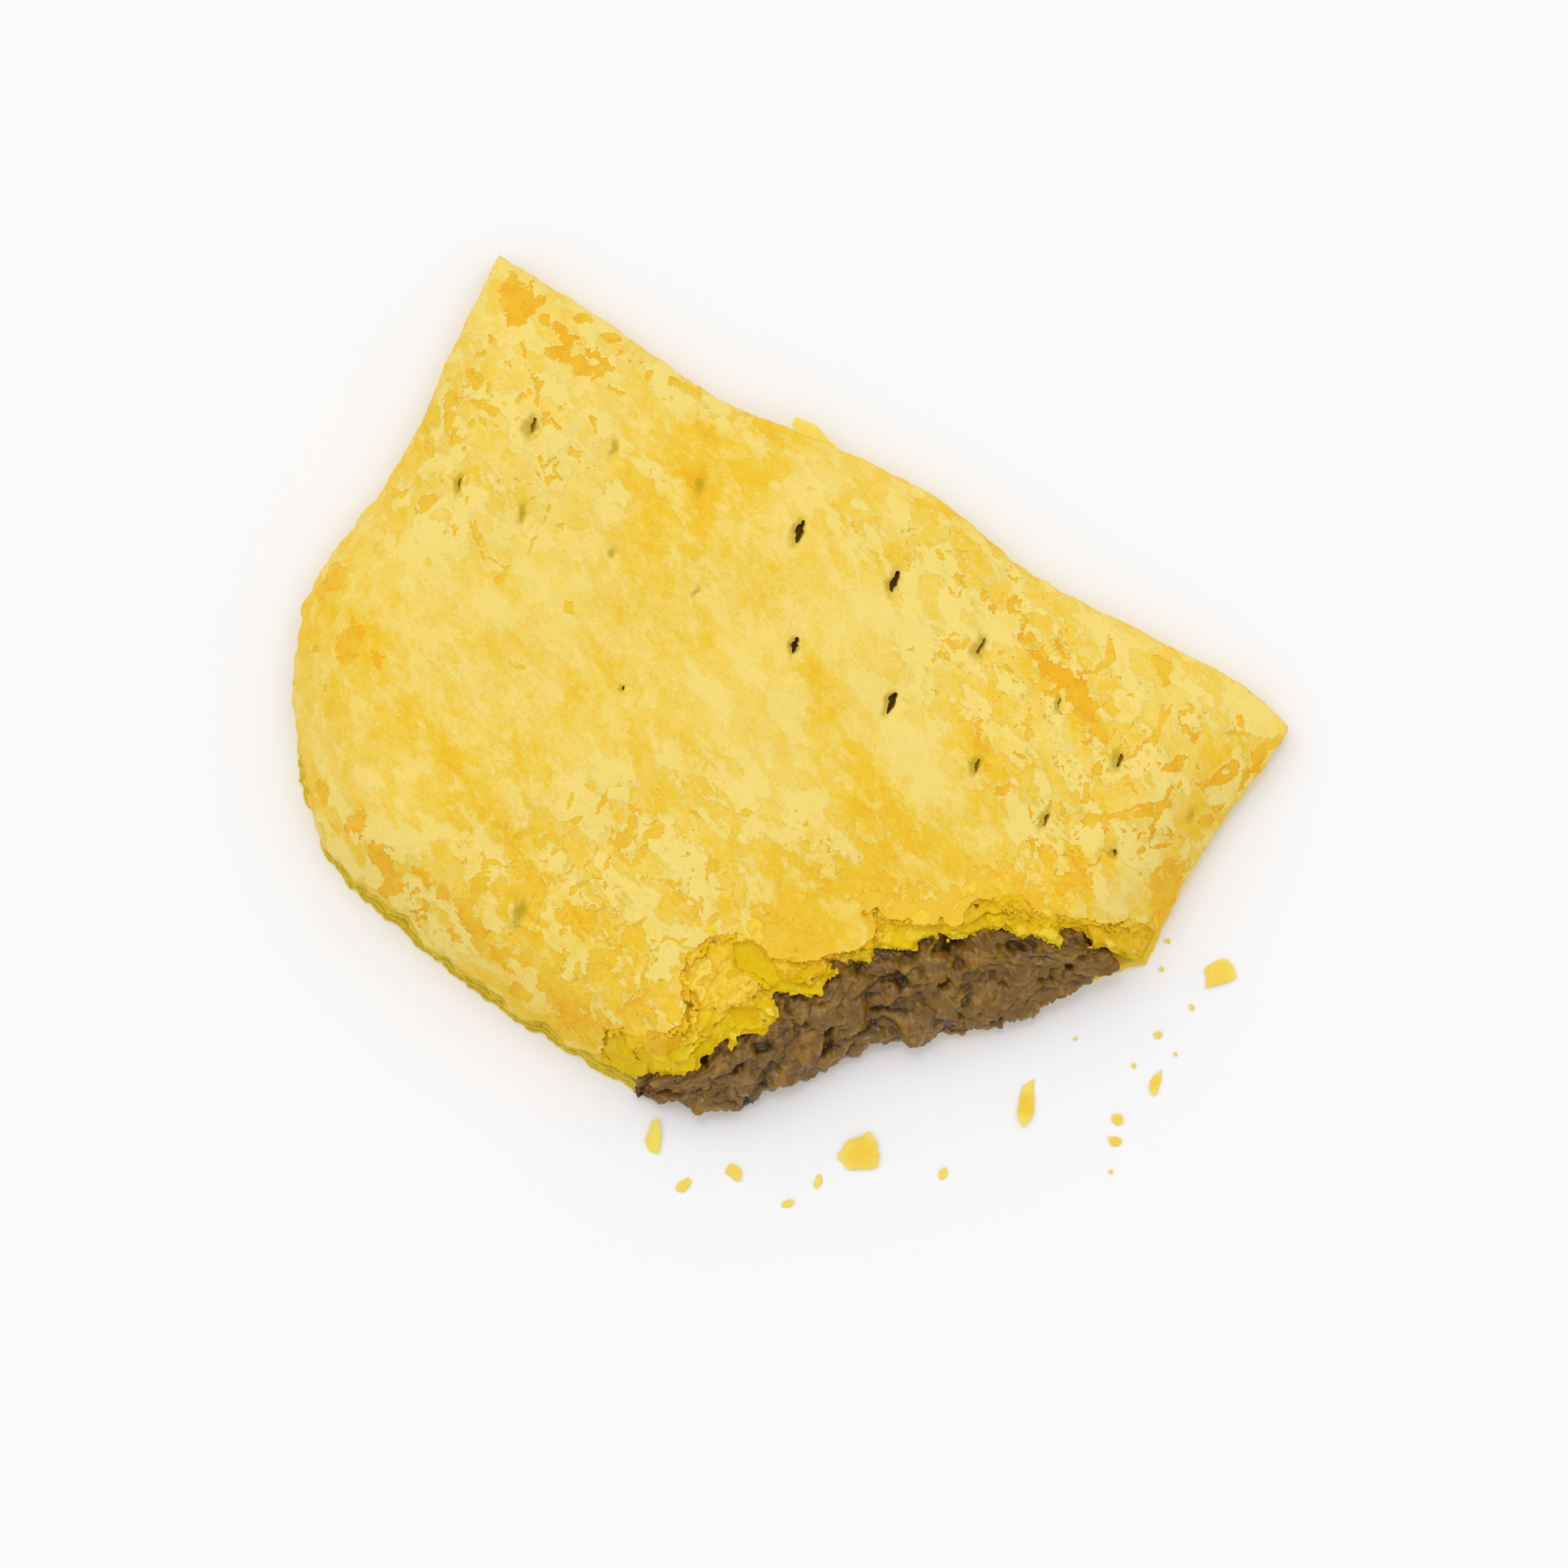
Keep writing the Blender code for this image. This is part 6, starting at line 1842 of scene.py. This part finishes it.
class TornPastry(Finish):
    """The inside of the pastry: pale gold above, golden in the tears, lemon further down, and painted
    amber shade on step faces and undersides.
    """

    PALE = srgb(243, 212, 84)
    GOLD = srgb(238, 198, 30)
    AMBER = srgb(216, 156, 4)
    LEMON = srgb(222, 198, 14)

    def pattern(self, graph: Graph, place: Socket) -> dict[str, Socket]:
        """Gold to lemon by depth, paler and more amber in patches, with an open crumb, and painted amber
        shade on steps and undersides.
        """
        crumb, pore = self.crumb(graph, place, 0.7)
        tone, grain = self.mottle(graph, place, 2.6, 2.4, 0.8)
        shift = graph.less(tone, 0.5)
        depth = graph.add(graph.value("depth"), graph.times(shift, 0.4))
        colour = graph.mix(graph.span(depth, 0.25, 0.6), self.GOLD, self.LEMON)
        colour = graph.mix(graph.add(graph.value("pale"), shift, clamp=True), colour, self.PALE)
        # Painted shade: amber on step faces and plate edges (riser_shade) and on the lower sides of
        # sheets and plates (under).
        torn = graph.add(graph.value("amber"), graph.times(graph.value("riser_shade"), 0.25))
        amber = graph.times(graph.add(torn, graph.times(shift, 0.7)), 0.9, clamp=True)
        under = graph.times(graph.value("under"), 0.4)
        for share in (amber, graph.times(pore, 0.2), under):
            colour = graph.mix(share, colour, self.AMBER)
        rough = graph.span(graph.value("rough"), 0.0, 0.3, 0.25, 1.0)
        return {"Base Color": colour, "Height": graph.times(graph.add(crumb, grain), rough)}


class PressedRim(Finish):
    """The bottom sheet: baked gold, and yellow-green layers where its edge shows."""

    BAKED = srgb(238, 202, 62)
    LEMON = srgb(236, 212, 76)
    GREEN = srgb(214, 186, 36)
    GAP_SHADE = srgb(176, 140, 24)
    GAPS = (0.38, 0.68)

    def pattern(self, graph: Graph, place: Socket) -> dict[str, Socket]:
        """Mottled layers with darker lines painted as shade in the gaps between them, where the edge is
        raw.
        """
        tone, _ = self.mottle(graph, place, 2.2, 2.2, 0.8)
        crumb, _ = self.crumb(graph, place, 0.8)
        side, depth = graph.mix(tone, self.LEMON, self.GREEN), graph.value("depth")
        # Painted shade: a darker line in each gap between the pressed layers.
        for middle in self.GAPS:
            away = graph.math("ABSOLUTE", graph.less(depth, middle))
            side = graph.mix(graph.span(away, 0.07, 0.0, 0.0, 0.6), side, self.GAP_SHADE)
        shown = graph.times(graph.value("raw"), graph.span(depth, 0.02, 0.12))
        return {"Base Color": graph.mix(shown, self.BAKED, side), "Height": crumb}


class MoistMince(Finish):
    """Minced meat: brown and ochre lumps, with painted dark shade in the crevices, and wet where it
    catches light.
    """

    BROWN = srgb(116, 80, 12)
    OCHRE = srgb(152, 111, 34)
    GREY = srgb(126, 93, 30)
    DARK = srgb(74, 52, 12)

    def pattern(self, graph: Graph, place: Socket) -> dict[str, Socket]:
        """Brown meat with ochre lumps, painted dark shade in the crevices, and a film of wet that comes
        and goes.
        """
        broad, _ = self.mottle(graph, place, 4.0, 2.2, 0.7)
        fine, grain = self.mottle(graph, place, 1.0, 1.6, 0.6)
        colour = graph.mix(graph.span(broad, 0.25, 0.8), self.GREY, self.BROWN)
        ochre = graph.add(graph.times(graph.value("tone"), 0.9), graph.times(fine, 0.5))
        colour = graph.mix(graph.span(ochre, 0.55, 1.1), colour, self.OCHRE)
        # Painted shade: darker the deeper a place lies between lumps or in a hollow.
        colour = graph.mix(graph.span(graph.value("crevice_shade"), 0.25, 0.85), colour, self.DARK)
        wet = graph.span(fine, 0.3, 0.8, 0.12, 0.24)
        height = graph.add(fine, graph.times(grain, 0.3))
        return {"Base Color": colour, "Roughness": wet, "Height": height}


class LooseCrumb(Finish):
    """Crumbs and loose leaves: pale yellow to toasted gold."""

    PALE = srgb(241, 220, 102)
    TOASTED = srgb(241, 198, 58)

    def pattern(self, graph: Graph, place: Socket) -> dict[str, Socket]:
        """Mottled between the two colours, by how toasted each crumb is."""
        tone, grain = self.mottle(graph, place, 2.0, 1.8)
        toast = graph.add(graph.value("toast"), graph.less(tone, 0.5), clamp=True)
        return {"Base Color": graph.mix(toast, self.PALE, self.TOASTED), "Height": grain}


@dataclass(frozen=True)
class Lamp:
    """A far lamp: its name, where it shines, its strength and how wide it looks, in degrees."""

    name: str
    aim: tuple[float, float, float]
    strength: float
    spread: float

    def build(self) -> None:
        """The lamp's object, turned so that its -Z points along the aim."""
        lamp = bpy.data.lights.new(self.name, "SUN")
        lamp.energy = self.strength
        lamp.angle = math.radians(self.spread)
        light = bpy.data.objects.new(self.name, lamp)
        x, y, z = self.aim
        light.rotation_euler = (math.atan2(math.hypot(x, y), -z), 0.0, math.atan2(y, x) - math.pi / 2)
        light.location = -0.8 * np.array(self.aim)
        bpy.context.scene.collection.objects.link(light)


@dataclass
class Studio:
    """A plain pale floor, soft light and a camera straight above, as in the photograph."""

    view_mm: float = 246.5
    distance: float = 1.6
    turn_deg: float = 30.808
    centre_mm: tuple[float, float] = (8.5, 1.5)
    sensor_mm: float = 36.0
    table_colour: tuple[float, ...] = (0.90, 0.90, 0.91, 1.0)
    surround_colour: tuple[float, ...] = (1.0, 0.995, 1.0, 1.0)
    surround_strength: float = 0.80
    lamps: tuple[Lamp, ...] = (
        Lamp("key", (0.67, -0.24, -0.85), 0.46, 50.0),
        Lamp("fill", (-0.13, -0.66, -0.85), 0.24, 50.0),
        Lamp("glint", (0.20, -0.19, -1.0), 0.32, 12.0),
    )

    def floor(self) -> None:
        """A level white floor, wide enough for every view."""
        bpy.ops.mesh.primitive_plane_add(size=6.0, location=(0.0, 0.0, 0.0))
        floor = bpy.context.object
        floor.name = "floor"
        material = bpy.data.materials.new("white_table")
        material.use_nodes = True
        shader = material.node_tree.nodes["Principled BSDF"]
        shader.inputs["Base Color"].default_value = self.table_colour
        shader.inputs["Roughness"].default_value = 0.7
        floor.data.materials.append(material)

    def lights(self) -> None:
        """A white surround, broad suns from the photo's upper left and right, and a small glint lamp."""
        world = bpy.data.worlds.new("surround")
        bpy.context.scene.world = world
        world.use_nodes = True
        background = world.node_tree.nodes["Background"]
        background.inputs["Color"].default_value = self.surround_colour
        background.inputs["Strength"].default_value = self.surround_strength
        for lamp in self.lamps:
            lamp.build()

    def camera(self) -> None:
        """A camera that looks straight down, turned as the photograph is."""
        lens = bpy.data.cameras.new("camera")
        lens.sensor_width = self.sensor_mm
        lens.lens = self.sensor_mm * self.distance / (self.view_mm * MM)
        camera = bpy.data.objects.new("camera", lens)
        x, y = self.centre_mm
        camera.location = (x * MM, y * MM, self.distance + 0.004)
        camera.rotation_euler = (0.0, 0.0, math.radians(self.turn_deg))
        bpy.context.scene.collection.objects.link(camera)
        bpy.context.scene.camera = camera
        bpy.context.scene.view_settings.view_transform = "Standard"


def place_piece(
    body: Body, name: str, finish: bpy.types.Material, sharp: float, fill: bool = False
) -> bpy.types.Object:
    """Makes a piece of the patty from a body and lets it ride on the patty's one body.

    Args:
        body: the piece's shape.
        name: its name.
        finish: its material.
        sharp: the angle past which an edge is shaded sharp, in degrees.
        fill: whether each open rim is closed with one face.

    Returns:
        The piece's object.
    """
    piece = body.to_object(name, sharp, fill)
    piece.data.materials.append(finish)
    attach(piece, "root")
    LOG.info("%s: %d faces", name, len(piece.data.polygons))
    return piece


def main() -> None:
    """Imports the model, builds every piece on the patty's one body in place of the solid parts that it
    hides, and sets up the floor, lights and camera.
    """
    logging.basicConfig(level=logging.INFO, format="%(message)s")
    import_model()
    form = Form()
    groups = Groups()
    skin = BakedSkin("baked_skin", 0.55, groups, 0.1).build()
    torn = TornPastry("torn_pastry", 0.65, groups, 0.12, 0.06).build()
    rim = PressedRim("pressed_rim", 0.65, groups, 0.12, 0.08).build()
    mince = MoistMince("moist_mince", 0.3, groups, 0.06, 0.42).build()
    crumb = LooseCrumb("loose_crumb", 0.6, groups, 0.08).build()
    top = place_piece(TopSheet(form).build(), "crust_top", skin, sharp=38.0)
    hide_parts("crust")
    place_piece(BottomSheet(form).build(), "crust_bottom", rim, sharp=50.0, fill=True)
    face = TornFace(form)
    place_piece(face.build(), "torn_face", torn, sharp=60.0)
    place_piece(TornLayers(form, face).build(), "torn_layers", torn, sharp=50.0)
    place_piece(Shards(form, face).build(), "torn_shards", torn, sharp=50.0)
    filling = Mince(form).build()
    meat = place_piece(filling, "minced_filling", mince, sharp=100.0, fill=True)
    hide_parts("filling")
    place_piece(Crumbs().build(), "table_crumbs", crumb, sharp=50.0)
    place_piece(FoldLeaf().build(), "fold_leaf", crumb, sharp=50.0)
    studio = Studio()
    studio.floor()
    studio.lights()
    studio.camera()


if __name__ == "__main__":
    main()
